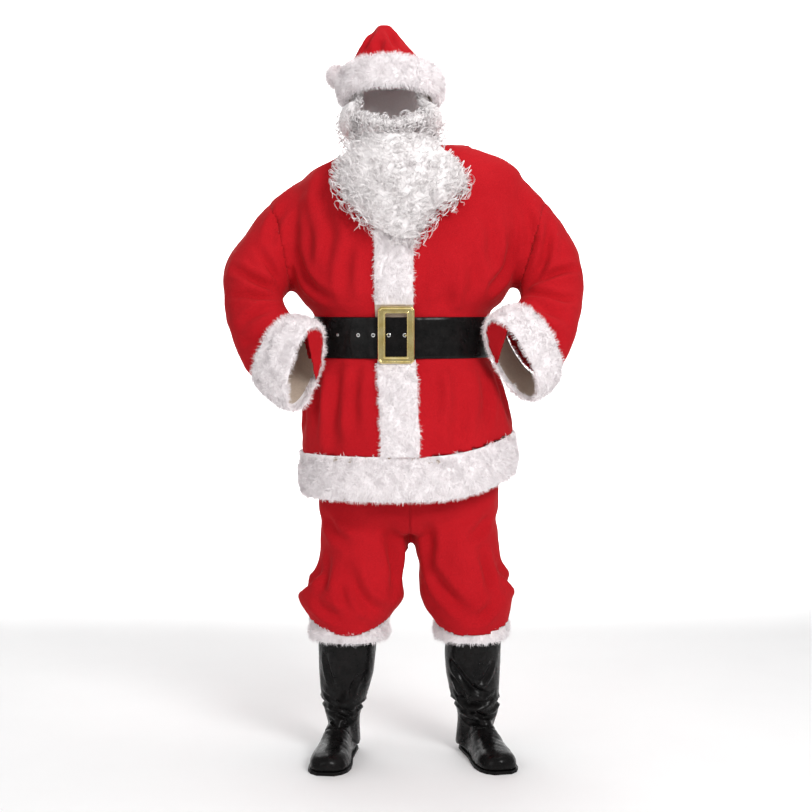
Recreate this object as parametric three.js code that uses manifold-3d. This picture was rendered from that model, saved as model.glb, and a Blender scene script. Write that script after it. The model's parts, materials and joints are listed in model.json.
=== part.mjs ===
// A worn Santa suit as a set: jacket, trousers, belt, hat, boots, and the costume beard and wig.
// Millimetres, +Z up. The suit faces -Y, so the wearer's left is +X. The tables give heights above
// the floor, and the finished group is lowered so that its origin is the middle of the shoulders.
// Soft pieces are walls lofted through rings; each table row below is one ring.

import * as THREE from "three";
import { mergeVertices } from "three/addons/utils/BufferGeometryUtils.js";
import Module from "manifold-3d";

const wasm = await Module();
wasm.setup();

// ---------- driving dimensions ----------
const HOLD_HEIGHT = 1500; // height of the shoulders above the floor
const CLOTH = 2; // fleece wall
const SEAM = 0.3; // gap between neighbouring pieces at a seam
const CLEAR = 0.6; // gap between a piece and the cloth it lies on
const BODY_SIDES = 32; // facets round the torso and the hips
const LIMB_SIDES = 16; // facets round a sleeve or a trouser leg

const BELT_LOW = 1039;
const BELT_HIGH = 1141;
const BELT_THICK = 3;
const BELT_SIDES = 64;

const FUR_REACH = 20; // how far a fur trim stands off its cloth
const PLACKET_HALF = 53; // half the width of the fur strip down the front
const PLACKET_PRESSED = 4; // its thickness under the belt

const BUCKLE = { x: -24, low: 1028, high: 1167, half: 45, windowHalf: 26, barTop: 17, thick: 6 };
const EYELETS = [-3, -42, -80, -117]; // X of each eyelet; the prong sits in the first
const EYELET = { radius: 5, hole: 2.6, thick: 0.8 };
const RIVET_X = -168;

// ---------- tables: a row for each ring ----------
const table = (columns, rows) =>
  rows.map((row) => Object.fromEntries(columns.map((name, i) => [name, row[i]])));

// z and x place the ring's centre; half, front and back are its reaches; power squares it off;
// riseL and riseR lift its two sides, on the wearer's left and right.
const RING = ["z", "x", "half", "front", "back", "power", "riseL", "riseR"];

const TORSO = table(RING, [
  [690, 6, 264, 212, 182, 2.3, 52, 0],
  [745, 6, 266, 211, 180, 2.3, 52, 0],
  [800, 4, 267, 209, 176, 2.3, 50, 0],
  [905, -3, 259, 199, 163, 2.3, 20, 0],
  [1000, -9, 243, 187, 147, 2.3, 0, 0],
  [1035, -10, 222, 174, 132, 2.3, 0, 0],
  [1145, -10, 222, 174, 132, 2.3, 0, 0],
  [1172, -11, 248, 180, 139, 2.4, 0, 0],
  [1215, -12, 273, 191, 146, 2.5, 0, 0],
  [1310, -4, 288, 184, 149, 2.7, 0, 0],
  [1400, 3, 292, 162, 142, 2.8, 5, -5],
  [1470, 8, 287, 133, 124, 2.8, 10, -10],
  [1515, 11, 258, 104, 104, 2.7, 10, -10],
  [1550, 14, 184, 84, 90, 2.3, 8, -8],
  [1568, 8, 120, 76, 80, 2.1, 5, -5],
  [1576, 0, 92, 72, 75, 2, 0, 0],
]);
const HEM_ROWS = 3; // the rows that the fur hem covers
const PLACKET_ROWS = [2, 12]; // the rows that the fur strip runs over

const HIPS = table(RING, [
  [598, 8, 190, 96, 90, 2.2, 0, 0],
  [625, 8, 222, 122, 118, 2.4, 0, 0],
  [660, 8, 230, 138, 132, 2.4, 0, 0],
  [760, 6, 228, 150, 142, 2.3, 0, 0],
  [880, 0, 216, 150, 140, 2.2, 0, 0],
  [980, -6, 196, 138, 120, 2.2, 0, 0],
  [1015, -8, 188, 132, 114, 2.2, 0, 0],
]);
const WAISTBAND_HIGH = 1052;

// Here x and y place the ring's centre, and droop lowers its front.
const LEG = ["z", "x", "y", "half", "front", "back", "droop"];
const LEG_RIGHT = table(LEG, [
  [376, -146, 0, 103, 104, 100, 34],
  [398, -145, 0, 120, 114, 106, 22],
  [424, -139, 0, 136, 120, 110, 12],
  [459, -127, 0, 122, 118, 110, 4],
  [510, -114, 0, 110, 114, 110, 0],
  [600, -106, 0, 113, 118, 112, 0],
  [660, -96, 0, 108, 112, 108, 0],
]);
const LEG_LEFT = table(LEG, [
  [368, 168, 0, 97, 100, 97, 30],
  [394, 160, 0, 112, 112, 104, 18],
  [432, 155, 0, 122, 118, 108, 8],
  [465, 150, 0, 118, 116, 108, 2],
  [515, 138, 0, 108, 114, 108, 0],
  [600, 123, 0, 111, 118, 112, 0],
  [660, 112, 0, 108, 112, 108, 0],
]);

// A sleeve ring passes through a far point, on the elbow's side, and a near point, on the crook's.
const SLEEVE = ["farX", "farY", "farZ", "nearX", "nearY", "nearZ", "depth"];
const SLEEVE_LEFT = table(SLEEVE, [
  [286, 0, 1496, 215, 0, 1240, 88],
  [352, 0, 1430, 288, 0, 1212, 92],
  [411, -6, 1354, 292, -8, 1204, 90],
  [444, -14, 1290, 293, -22, 1199, 86],
  [451, -24, 1238, 294, -36, 1195, 82],
  [440, -44, 1164, 294, -56, 1191, 80],
  [423, -68, 1098, 290, -78, 1185, 78],
  [398, -92, 1040, 280, -106, 1177, 76],
  [363, -118, 992, 264, -136, 1165, 72],
]);
const SLEEVE_RIGHT = table(SLEEVE, [
  [-272, 0, 1486, -215, 0, 1228, 88],
  [-346, -4, 1424, -296, -4, 1204, 92],
  [-407, -18, 1352, -301, -20, 1198, 90],
  [-449, -34, 1290, -305, -40, 1194, 86],
  [-462, -50, 1236, -308, -60, 1190, 82],
  [-452, -70, 1162, -307, -80, 1182, 78],
  [-432, -92, 1092, -302, -102, 1170, 76],
  [-403, -114, 1030, -292, -124, 1154, 74],
  [-360, -138, 978, -277, -150, 1138, 70],
]);
const ARMHOLE_ROW = 1;
const CUFF_LEFT = table(SLEEVE, [
  [336, -142, 962, 236, -176, 1149, 68],
  [307, -168, 936, 206, -212, 1136, 58],
]);
const CUFF_RIGHT = table(SLEEVE, [
  [-316, -162, 944, -246, -182, 1129, 64],
  [-272, -186, 912, -217, -216, 1120, 56],
]);

const HEAD = { x: -39, y: 5 };
const BRIM = ["out", "up"];
// The fur brim's section: out from the head's side, and up from the brim's middle.
const BRIM_SECTION = table(BRIM, [
  [0, -44],
  [20, -47],
  [34, -30],
  [38, 0],
  [32, 28],
  [16, 45],
  [0, 42],
]);
const BRIM_INNER = { half: 105, front: 100, back: 104, z: 1722 };
// Hat crown rings, in order from the brim to the pompom, each square to the way the cloth runs.
const CROWN = table(["x", "y", "z", "half", "deep", "leanX", "leanY", "leanZ"], [
  [-39, 5, 1722, 102, 99, 0, 0.24, 0.97],
  [-44, 10, 1760, 96, 94, 0, 0.24, 0.97],
  [-52, 14, 1796, 78, 82, 0, 0.2, 0.98],
  [-57, 16, 1830, 54, 62, 0, 0.1, 0.99],
  [-54, 16, 1858, 30, 42, 0, 0, 1],
  [-54, 14, 1876, 15, 20, 0, 0, 1],
]);
const TAIL = table(["x", "y", "z", "half", "deep", "leanX", "leanY", "leanZ"], [
  [-58, 26, 1850, 18, 20, -0.2, 0.7, 0.5],
  [-68, 58, 1844, 22, 20, -0.5, 0.8, -0.2],
  [-90, 84, 1822, 20, 18, -0.6, 0.5, -0.6],
  [-122, 100, 1798, 15, 15, -0.8, 0.2, -0.5],
  [-152, 103, 1781, 11, 11, -0.8, 0, -0.6],
]);
const POMPOM = { x: -180, y: 103, z: 1760, radius: 33 };

// The beard: middle and half of its width, how far back and forward it reaches in the middle,
// and how far its sides sweep back.
const BEARD = table(["z", "x", "half", "back", "front", "sweep"], [
  [1596, -33, 104, -112, -146, 62],
  [1560, -26, 128, -122, -176, 44],
  [1520, -16, 158, -130, -196, 24],
  [1480, -10, 168, -152, -208, 16],
  [1440, -16, 150, -173, -216, 14],
  [1405, -24, 110, -188, -220, 8],
  [1375, -22, 84, -193, -219, 5],
  [1350, -10, 58, -196, -215, 3],
  [1332, 2, 36, -198, -211, 2],
]);
const MOUSTACHE = table(["x", "y", "z", "radius"], [
  [-124, -74, 1640, 8],
  [-106, -104, 1632, 15],
  [-70, -128, 1620, 17],
  [-33, -136, 1615, 17],
  [6, -128, 1622, 17],
  [40, -104, 1636, 15],
  [58, -74, 1646, 8],
]);
// The wig: its inner and outer reach round the head, from its cap down to its ends.
const WIG = table(["z", "inner", "outer", "innerBack", "outerBack"], [
  [1598, 100, 120, 84, 104],
  [1630, 96, 136, 90, 120],
  [1654, 93, 132, 84, 112],
  [1668, 89, 102, 75, 86],
  [1740, 78, 90, 67, 78],
]);
const WIG_LEAN = 0.24; // the wig's rings drop towards the back, like the hat's brim
const WIG_OPEN = THREE.MathUtils.degToRad(52); // half the gap left for the face

// Boot rings; turn swings the foot outwards about the ankle.
const SHAFT = ["z", "x", "y", "half", "deep"];
const SHAFT_RIGHT = table(SHAFT, [
  [30, -158, 46, 40, 52],
  [84, -162, 40, 42, 56],
  [120, -164, 32, 47, 60],
  [179, -159, 20, 63, 68],
  [240, -153, 10, 72, 74],
  [345, -150, 0, 76, 76],
]);
const SHAFT_LEFT = table(SHAFT, [
  [30, 168, 46, 40, 52],
  [84, 182, 40, 48, 56],
  [120, 186, 32, 54, 60],
  [179, 177, 20, 64, 68],
  [240, 172, 10, 71, 74],
  [345, 174, 0, 73, 74],
]);
// The foot from heel to toe: along its axis, half width, and height of the upper over the sole.
const FOOT = table(["along", "half", "high"], [
  [-8, 12, 30],
  [0, 28, 44],
  [24, 37, 66],
  [70, 38, 92],
  [120, 39, 86],
  [170, 46, 60],
  [215, 50, 48],
  [250, 46, 42],
  [272, 36, 34],
  [284, 18, 22],
]);
const BOOT_RIGHT = { heel: [-162, 84], toe: [-200, -203] };
const BOOT_LEFT = { heel: [172, 90], toe: [238, -178] };
const SOLE_THICK = 18;
const SOLE_LIP = 4; // how far the sole stands out round the upper
const ARCH = { from: 78, to: 128, high: 9 };
const VINYL = 2;
const LEG_TRIM = { low: 312, high: 384, reach: 13, flare: 5 };

// ---------- rings ----------
const vec = (x, y, z) => new THREE.Vector3(x, y, z);
const rounded = (value, power) => Math.sign(value) * Math.abs(value) ** (2 / power);
const turnOf = (j, sides) => (2 * Math.PI * j) / sides;

// A level ring, squared off by its power, with its own front and back reach.
function levelRing(row, sides) {
  return Array.from({ length: sides }, (_, j) => {
    const c = Math.cos(turnOf(j, sides));
    const s = Math.sin(turnOf(j, sides));
    const rise = (c > 0 ? row.riseL : row.riseR) * c * c;
    const reach = s < 0 ? row.front : row.back;
    return vec(
      row.x + row.half * rounded(c, row.power),
      reach * rounded(s, row.power),
      row.z + rise,
    );
  });
}

function legRing(row, sides) {
  return Array.from({ length: sides }, (_, j) => {
    const c = Math.cos(turnOf(j, sides));
    const s = Math.sin(turnOf(j, sides));
    const reach = s < 0 ? row.front : row.back;
    const fall = s < 0 ? row.droop * s * s : 0;
    return vec(row.x + row.half * c, row.y + reach * s, row.z - fall);
  });
}

// An oval round a centre, with two half axes given as vectors.
function ovalRing(centre, u, v, sides, power = 2) {
  return Array.from({ length: sides }, (_, j) =>
    centre
      .clone()
      .addScaledVector(u, rounded(Math.cos(turnOf(j, sides)), power))
      .addScaledVector(v, rounded(Math.sin(turnOf(j, sides)), power)),
  );
}

// Rings through each row's far and near points; their depth lies square to the arm's own plane.
function sleeveRings(rows, sides) {
  const far = rows.map((r) => vec(r.farX, r.farY, r.farZ));
  const near = rows.map((r) => vec(r.nearX, r.nearY, r.nearZ));
  const mid = rows.map((_, i) => far[i].clone().lerp(near[i], 0.5));
  return rows.map((row, i) => {
    const along = mid[Math.min(i + 1, rows.length - 1)].clone().sub(mid[Math.max(i - 1, 0)]);
    const u = far[i].clone().sub(mid[i]);
    const v = along.cross(u).normalize().multiplyScalar(row.depth);
    return ovalRing(mid[i], u, v, sides, 2.2);
  });
}

// Rings square to a given way, for the hat.
function leaningRings(rows, sides) {
  return rows.map((row) => {
    const way = vec(row.leanX, row.leanY, row.leanZ).normalize();
    const deep = vec(0, 1, 0).addScaledVector(way, -way.y).normalize();
    const wide = deep.clone().cross(way).normalize();
    const centre = vec(row.x, row.y, row.z);
    return ovalRing(centre, wide.multiplyScalar(row.half), deep.multiplyScalar(row.deep), sides);
  });
}

// The same rings moved out of the surface, or into it where the distance is negative.
// distance is a number, or a function of the ring's and the point's number.
function moved(rings, distance) {
  const last = rings.length - 1;
  const normals = rings.map((ring, i) =>
    ring.map((_, j) => {
      const n = ring.length;
      const round = ring[(j + 1) % n].clone().sub(ring[(j + n - 1) % n]);
      const along = rings[Math.min(i + 1, last)][j].clone().sub(rings[Math.max(i - 1, 0)][j]);
      return round.cross(along).normalize();
    }),
  );
  let outward = 0;
  rings.forEach((ring, i) => {
    const centre = centroid(ring);
    ring.forEach((p, j) => {
      outward += p.clone().sub(centre).dot(normals[i][j]);
    });
  });
  const sign = Math.sign(outward);
  const far = typeof distance === "number" ? () => distance : distance;
  return rings.map((ring, i) =>
    ring.map((p, j) => p.clone().addScaledVector(normals[i][j], sign * far(i, j))),
  );
}

function centroid(ring) {
  const sum = vec(0, 0, 0);
  ring.forEach((p) => sum.add(p));
  return sum.divideScalar(ring.length);
}

// The way square to a flat ring, towards a point.
function planeWay(ring, towards) {
  const centre = centroid(ring);
  const quarter = Math.floor(ring.length / 4);
  const way = ring[0].clone().sub(centre).cross(ring[quarter].clone().sub(centre)).normalize();
  return way.multiplyScalar(Math.sign(way.dot(towards.clone().sub(centre))));
}

// A flat ring made wider within its own plane.
function flatMoved(ring, way, distance) {
  const centre = centroid(ring);
  return ring.map((p, j) => {
    const n = ring.length;
    const out = ring[(j + 1) % n].clone().sub(ring[(j + n - 1) % n]).cross(way).normalize();
    const sign = Math.sign(out.dot(p.clone().sub(centre)));
    return p.clone().addScaledVector(out, sign * distance);
  });
}

// Adds a ring past each end, so that a hollow opens through its tube's ends.
function lengthened(rings, startBy, endBy) {
  const beyond = (ring, next, by) => {
    const way = centroid(ring).sub(centroid(next)).normalize();
    return ring.map((p) => p.clone().addScaledVector(way, by));
  };
  const last = rings.length - 1;
  const out = [...rings];
  if (startBy) out.unshift(beyond(rings[0], rings[1], startBy));
  if (endBy) out.push(beyond(rings[last], rings[last - 1], endBy));
  return out;
}

// ---------- solids ----------
// Skins rings into a closed geometry: capped at both ends, or joined end to end in a loop.
// A hooked ring runs out along one side and back along the other, so its caps are strips.
function loft(rings, looped = false, hooked = false) {
  const n = rings[0].length;
  const m = rings.length;
  const points = rings.flat();
  const faces = [];
  for (let i = 0; i < (looped ? m : m - 1); i++) {
    for (let j = 0; j < n; j++) {
      const a = i * n + j;
      const b = i * n + ((j + 1) % n);
      const c = ((i + 1) % m) * n + j;
      const d = ((i + 1) % m) * n + ((j + 1) % n);
      faces.push(a, b, d, a, d, c);
    }
  }
  if (hooked) {
    const top = (m - 1) * n;
    for (let j = 0; j < n / 2 - 1; j++) {
      const far = n - 1 - j;
      faces.push(j + 1, j, far, j + 1, far, far - 1);
      faces.push(top + j, top + j + 1, top + far, top + j + 1, top + far - 1, top + far);
    }
  } else if (!looped) {
    const start = points.push(centroid(rings[0])) - 1;
    const end = points.push(centroid(rings[m - 1])) - 1;
    for (let j = 0; j < n; j++) {
      faces.push(start, (j + 1) % n, j);
      faces.push(end, (m - 1) * n + j, (m - 1) * n + ((j + 1) % n));
    }
  }
  if (volumeOf(points, faces) < 0) faces.reverse();
  const geometry = new THREE.BufferGeometry().setFromPoints(points);
  geometry.setIndex(faces);
  return geometry;
}

function volumeOf(points, faces) {
  let sum = 0;
  for (let i = 0; i < faces.length; i += 3) {
    const [a, b, c] = [points[faces[i]], points[faces[i + 1]], points[faces[i + 2]]];
    sum += a.dot(b.clone().cross(c));
  }
  return sum;
}

function toSolid(geometry) {
  const bare = new THREE.BufferGeometry();
  bare.setAttribute("position", geometry.getAttribute("position"));
  bare.setIndex(geometry.index);
  const merged = mergeVertices(bare, 1e-4);
  return new wasm.Manifold(
    new wasm.Mesh({
      numProp: 3,
      vertProperties: merged.attributes.position.array,
      triVerts: new Uint32Array(merged.index.array),
    }),
  );
}

function toGeometry(solid) {
  const mesh = solid.getMesh();
  const geometry = new THREE.BufferGeometry();
  geometry.setAttribute("position", new THREE.BufferAttribute(mesh.vertProperties, 3));
  geometry.setIndex(new THREE.BufferAttribute(mesh.triVerts, 1));
  geometry.computeVertexNormals();
  return geometry;
}

const solidLoft = (rings, looped) => toSolid(loft(rings, looped));

// A box by its size and middle, turned to face a way across it.
function boxSolid(size, middle, facing = vec(1, 0, 0)) {
  const turn = new THREE.Quaternion().setFromUnitVectors(vec(1, 0, 0), facing.clone().normalize());
  const geometry = new THREE.BoxGeometry(size.x, size.y, size.z).applyQuaternion(turn);
  return toSolid(geometry.translate(middle.x, middle.y, middle.z));
}

// ---------- materials ----------
const finish = (color, roughness, metalness = 0) =>
  new THREE.MeshStandardMaterial({ color, roughness, metalness, side: THREE.DoubleSide });
const RED_FLEECE = finish(0xc01a20, 0.95);
const WHITE_FUR = finish(0xefe6e6, 1);
const WHITE_CURLS = finish(0xe6dcdb, 0.8);
const BLACK_VINYL = finish(0x11110f, 0.35);
const BLACK_RUBBER = finish(0x0c0c0c, 0.7);
const GOLD = finish(0xd9c878, 0.25, 1);
const STEEL = finish(0xb8b8b4, 0.3, 1);

const suit = new THREE.Group();
function add(name, shape, material) {
  const geometry = shape.isBufferGeometry ? shape : toGeometry(shape);
  const mesh = new THREE.Mesh(geometry, material);
  mesh.name = name;
  suit.add(mesh);
}

// Cuts a shell along thin seams and gives the pieces, named by whichever test fits each.
function cutApart(shell, seams, names) {
  let rest = shell;
  for (const seam of seams) rest = rest.subtract(seam);
  for (const piece of rest.decompose()) {
    const box = piece.boundingBox();
    const centre = vec(...box.min).lerp(vec(...box.max), 0.5);
    const found = names.find((entry) => entry.is(centre, piece));
    if (found && piece.volume() > 1000) add(found.name, piece, RED_FLEECE);
  }
}

// ---------- jacket ----------
const torsoRings = TORSO.map((row) => levelRing(row, BODY_SIDES));
const sleeveRows = { left: SLEEVE_LEFT, right: SLEEVE_RIGHT };
const armRingsOf = {
  left: sleeveRings([...SLEEVE_LEFT, ...CUFF_LEFT], LIMB_SIDES),
  right: sleeveRings([...SLEEVE_RIGHT, ...CUFF_RIGHT], LIMB_SIDES),
};
const sleeveRingsOf = {
  left: armRingsOf.left.slice(0, SLEEVE_LEFT.length),
  right: armRingsOf.right.slice(0, SLEEVE_RIGHT.length),
};

// The armhole seam: a thin sheet in the plane of the sleeve's second ring.
function armholeSeam(side) {
  const row = sleeveRows[side][ARMHOLE_ROW];
  const far = vec(row.farX, row.farY, row.farZ);
  const near = vec(row.nearX, row.nearY, row.nearZ);
  const down = near.clone().sub(far);
  const facing = vec(-down.z, 0, down.x);
  const middle = far.clone().lerp(near, 0.48);
  return boxSolid(vec(SEAM, 260, down.length() + 26), middle, facing);
}

function jacket() {
  const outer = ["left", "right"].reduce(
    (sum, side) => sum.add(solidLoft(sleeveRingsOf[side])),
    solidLoft(torsoRings),
  );
  const hollow = ["left", "right"].reduce(
    (sum, side) => sum.add(solidLoft(lengthened(moved(sleeveRingsOf[side], -CLOTH), 0, 12))),
    solidLoft(lengthened(moved(torsoRings, -CLOTH), 12, 12)),
  );
  const frontX = -25;
  const seams = [
    armholeSeam("left"),
    armholeSeam("right"),
    boxSolid(vec(SEAM, 300, 1100), vec(frontX, -150, 1200)),
    boxSolid(vec(760, SEAM, 620), vec(0, 8, 920)),
    boxSolid(vec(760, SEAM, 500), vec(0, 8, 1400)),
  ];
  cutApart(outer.subtract(hollow), seams, [
    { name: "sleeve_left", is: (c) => c.x > 310 },
    { name: "sleeve_right", is: (c) => c.x < -310 },
    { name: "jacket_back", is: (c) => c.y > 30 },
    { name: "jacket_front_left", is: (c) => c.x > 0 },
    { name: "jacket_front_right", is: (c) => c.x < 0 },
  ]);
}

// ---------- fur trims on the jacket ----------
function furHem() {
  const rows = torsoRings.slice(0, HEM_ROWS);
  const inner = moved(rows, CLEAR);
  const reach = [FUR_REACH * 0.65, FUR_REACH, FUR_REACH * 0.7];
  const outer = moved(rows, (i) => reach[i]);
  const drop = (ring, by) => ring.map((p) => vec(p.x, p.y, p.z + by));
  const rings = [drop(inner[0], -4), drop(outer[0], -6), ...outer.slice(1), ...inner.slice(1).reverse()];
  add("fur_hem", loft(rings, true), WHITE_FUR);
}

// A fur cuff carries the sleeve's tube on past its seam, thick outside and cloth inside.
function furCuff(side) {
  const arm = armRingsOf[side];
  const last = sleeveRingsOf[side].at(-1);
  const rest = arm.slice(sleeveRingsOf[side].length);
  const way = planeWay(last, centroid(rest[0]));
  const first = last.map((p) => p.clone().addScaledVector(way, SEAM));
  const reach = [0, FUR_REACH * 0.9, FUR_REACH * 0.75];
  const outer = moved([first, ...rest], (i) => reach[i]).slice(1);
  const inner = moved([first, ...rest], -CLOTH).slice(1).reverse();
  const end = lengthened(moved(rest, FUR_REACH * 0.3), 0, 7).at(-1);
  const seat = [flatMoved(first, way, -CLOTH), flatMoved(first, way, 5)];
  add(`fur_cuff_${side}`, loft([...seat, ...outer, end, ...inner], true), WHITE_FUR);
}

// The front of a torso ring at a given X.
function frontY(row, x) {
  const share = Math.abs((x - row.x) / row.half) ** row.power;
  return -row.front * (1 - share) ** (1 / row.power);
}

const placketX = (z) => -30 + Math.max(0, 1183 - z) * 0.046;
const underBelt = (z) => z > BELT_LOW - 8 && z < BUCKLE.high + 8;

function furPlacket() {
  const across = [-1, -0.72, -0.36, 0, 0.36, 0.72, 1];
  const rows = TORSO.slice(...PLACKET_ROWS);
  const rings = rows.map((row, i) => {
    const reach = underBelt(row.z) ? PLACKET_PRESSED : FUR_REACH * 0.8;
    const z = i === 0 ? row.z + 3 : row.z;
    const half = PLACKET_HALF * (underBelt(row.z) ? 0.97 : 1);
    const on = across.map((u) => placketX(z) + u * half);
    const back = on.map((x) => vec(x, frontY(row, x) - CLEAR, z));
    const front = on.map((x, k) => {
      const edge = Math.abs(across[k]);
      return vec(x, frontY(row, x) - CLEAR - reach * (1 - 0.6 * edge ** 4), z);
    });
    return [...back, ...front.reverse()];
  });
  add("fur_placket", loft(rings), WHITE_FUR);
}

// ---------- belt ----------
const BELT_ROW = TORSO.find((row) => row.z === 1035);
// The belt rides over the pressed fur at the front and on the cloth everywhere else.
function beltBump(x, y) {
  if (y > 0) return 0;
  const away = (Math.abs(x - placketX(1090)) - PLACKET_HALF) / 26;
  return (PLACKET_PRESSED + 0.8) * THREE.MathUtils.smoothstep(1 - away, 0, 1);
}

// A belt ring at a height, a distance off the cloth.
function beltRing(z, off, sides = BELT_SIDES) {
  const ring = levelRing({ ...BELT_ROW, z }, sides);
  const out = moved([ring, ring.map((p) => vec(p.x, p.y, p.z + 10))], (_, j) =>
    CLEAR + off + beltBump(ring[j].x, ring[j].y),
  );
  return out[0];
}

function beltBand(low, high, off, thick) {
  const rings = [
    beltRing(low, off),
    beltRing(low, off + thick),
    beltRing(high, off + thick),
    beltRing(high, off),
  ];
  return rings;
}

// The belt's free end lies on the outside, from the buckle to the wearer's right.
const TIP_FROM = 26;
const TIP_TO = -140;
function tipStations() {
  const ring = beltRing(0, BELT_THICK + SEAM);
  return ring
    .map((p, j) => ({ j, x: p.x, y: p.y }))
    .filter((s) => s.y < 0 && s.x < TIP_FROM && s.x > TIP_TO)
    .sort((a, b) => b.x - a.x);
}

function belt() {
  add("belt_strap", loft(beltBand(BELT_LOW, BELT_HIGH, 0, BELT_THICK), true), BLACK_VINYL);
  const stations = tipStations();
  const band = beltBand(BELT_LOW + 1, BELT_HIGH - 1, BELT_THICK + SEAM, BELT_THICK - 0.5);
  const rings = stations.map(({ j }, k) => {
    const left = stations.length - 1 - k;
    const narrow = left === 0 ? 9 : 0;
    const lift = [narrow, narrow, -narrow, -narrow];
    return band.map((ring, i) => vec(ring[j].x, ring[j].y, ring[j].z + lift[i]));
  });
  add("belt_tip", loft(rings), BLACK_VINYL);
}

// The front of the belt at a given X, and the way it faces there.
function beltFace(x, off) {
  const at = (px) => {
    const y = frontY(BELT_ROW, px);
    return vec(px, y - CLEAR - beltBump(px, y) - off, 0);
  };
  const across = at(x + 2).sub(at(x - 2)).normalize();
  return { point: at(x), out: vec(across.y, -across.x, 0) };
}

// A short round piece standing on the belt, with a hole of the given radius or none.
function stud(x, off, radius, hole, thick) {
  const { point, out } = beltFace(x, off);
  const ring = (r, lift) => {
    const centre = point.clone().addScaledVector(out, lift).setZ((BELT_LOW + BELT_HIGH) / 2 + 7);
    return ovalRing(centre, vec(-out.y, out.x, 0).multiplyScalar(r), vec(0, 0, r), 12);
  };
  const face = [ring(radius, 0.3), ring(radius, 0.3 + thick * 0.6), ring(radius - 1, 0.3 + thick)];
  if (!hole) return loft(face);
  return loft([...face, ring(hole, 0.3 + thick), ring(hole, 0.3)], true);
}

function beltMetal() {
  EYELETS.forEach((x, k) => {
    const off = 2 * BELT_THICK - 0.5 + SEAM;
    add(`belt_eyelet_${k + 1}`, stud(x, off, EYELET.radius, EYELET.hole, EYELET.thick), STEEL);
  });
  add("belt_rivet", stud(RIVET_X, BELT_THICK + 0.6, 4, 0, 1.4), STEEL);
}

function stripped(geometry) {
  const bare = geometry.clone();
  bare.deleteAttribute("normal");
  bare.deleteAttribute("uv");
  return bare;
}

function buckle() {
  const b = BUCKLE;
  const faceY = frontY(BELT_ROW, b.x) - CLEAR - PLACKET_PRESSED - 2 * BELT_THICK - 3.2;
  const plate = (half, low, high, cut) => {
    const shape = new THREE.Shape();
    shape.moveTo(-half + cut, low);
    shape.lineTo(half - cut, low);
    shape.lineTo(half, low + cut);
    shape.lineTo(half, high - cut);
    shape.lineTo(half - cut, high);
    shape.lineTo(-half + cut, high);
    shape.lineTo(-half, high - cut);
    shape.lineTo(-half, low + cut);
    shape.closePath();
    return shape;
  };
  const bevel = 1.5;
  const outline = plate(b.half - bevel, b.low + bevel, b.high - bevel, 6);
  const window_ = plate(b.windowHalf + bevel, b.low + b.barTop - bevel, b.high - b.barTop + bevel, 1);
  outline.holes.push(window_);
  const geometry = new THREE.ExtrudeGeometry(outline, {
    depth: b.thick - 2 * bevel,
    bevelThickness: bevel,
    bevelSize: bevel,
    bevelSegments: 1,
    steps: 1,
  });
  geometry.rotateX(Math.PI / 2);
  geometry.translate(b.x, faceY - bevel, 0);
  add("belt_buckle", toSolid(stripped(geometry)), GOLD);

  const z = (BELT_LOW + BELT_HIGH) / 2 + 7;
  const reach = b.x + b.windowHalf - 0.3;
  const rod = [reach, reach - 3, EYELETS[0]].map((x, i) => {
    const r = i === 2 ? 1.4 : 2;
    return ovalRing(vec(x, faceY - 2 + i * 0.4, z), vec(0, r, 0), vec(0, 0, r), 10);
  });
  add("buckle_prong", loft(rod), GOLD);
}

// ---------- trousers ----------
const legRowsOf = { left: LEG_LEFT, right: LEG_RIGHT };
const legRingsOf = (side) => legRowsOf[side].map((row) => legRing(row, LIMB_SIDES));
const TROUSER_SEAM = { x: 8, y: 8 };

function trousers() {
  const hips = HIPS.map((row) => levelRing(row, BODY_SIDES));
  const outer = ["left", "right"].reduce(
    (sum, side) => sum.add(solidLoft(legRingsOf(side))),
    solidLoft(hips),
  );
  const hollow = ["left", "right"].reduce(
    (sum, side) => sum.add(solidLoft(lengthened(moved(legRingsOf(side), -CLOTH), 12, 0))),
    solidLoft(lengthened(moved(hips, -CLOTH), 0, 12)),
  );
  const seams = [
    boxSolid(vec(SEAM, 400, 480), vec(TROUSER_SEAM.x, 0, 820)),
    boxSolid(vec(640, SEAM, 900), vec(0, TROUSER_SEAM.y, 700)),
  ];
  cutApart(outer.subtract(hollow), seams, [
    { name: "trouser_front_left", is: (c) => c.x > 8 && c.y < 8 },
    { name: "trouser_front_right", is: (c) => c.x < 8 && c.y < 8 },
    { name: "trouser_back_left", is: (c) => c.x > 8 && c.y > 8 },
    { name: "trouser_back_right", is: (c) => c.x < 8 && c.y > 8 },
  ]);

  const top = HIPS.at(-1);
  const low = levelRing({ ...top, z: top.z + SEAM }, BODY_SIDES);
  const high = levelRing({ ...top, z: WAISTBAND_HIGH }, BODY_SIDES);
  const inner = moved([low, high], -CLOTH - 1);
  add("waistband", loft([low, high, inner[1], inner[0]], true), RED_FLEECE);
}

// The fur at a trouser leg's end shows below the cloth that hangs over it.
function furLeg(side) {
  const base = { ...legRowsOf[side][0], droop: 0 };
  const outerTop = legRing({ ...base, z: LEG_TRIM.high }, LIMB_SIDES);
  const at = (z, off) => {
    const ring = outerTop.map((p) => vec(p.x, p.y, z));
    return moved([ring, ring.map((p) => vec(p.x, p.y, z + 10))], off)[0];
  };
  const off = -CLOTH - CLEAR;
  const rings = [
    at(LEG_TRIM.low + 6, off - LEG_TRIM.reach),
    at(LEG_TRIM.low, off - LEG_TRIM.reach * 0.4),
    at(LEG_TRIM.low + 12, off + LEG_TRIM.flare),
    at(LEG_TRIM.high - 48, off),
    at(LEG_TRIM.high - 4, off),
    at(LEG_TRIM.high, off - LEG_TRIM.reach),
  ];
  add(`fur_leg_${side}`, loft(rings, true), WHITE_FUR);
}

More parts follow.
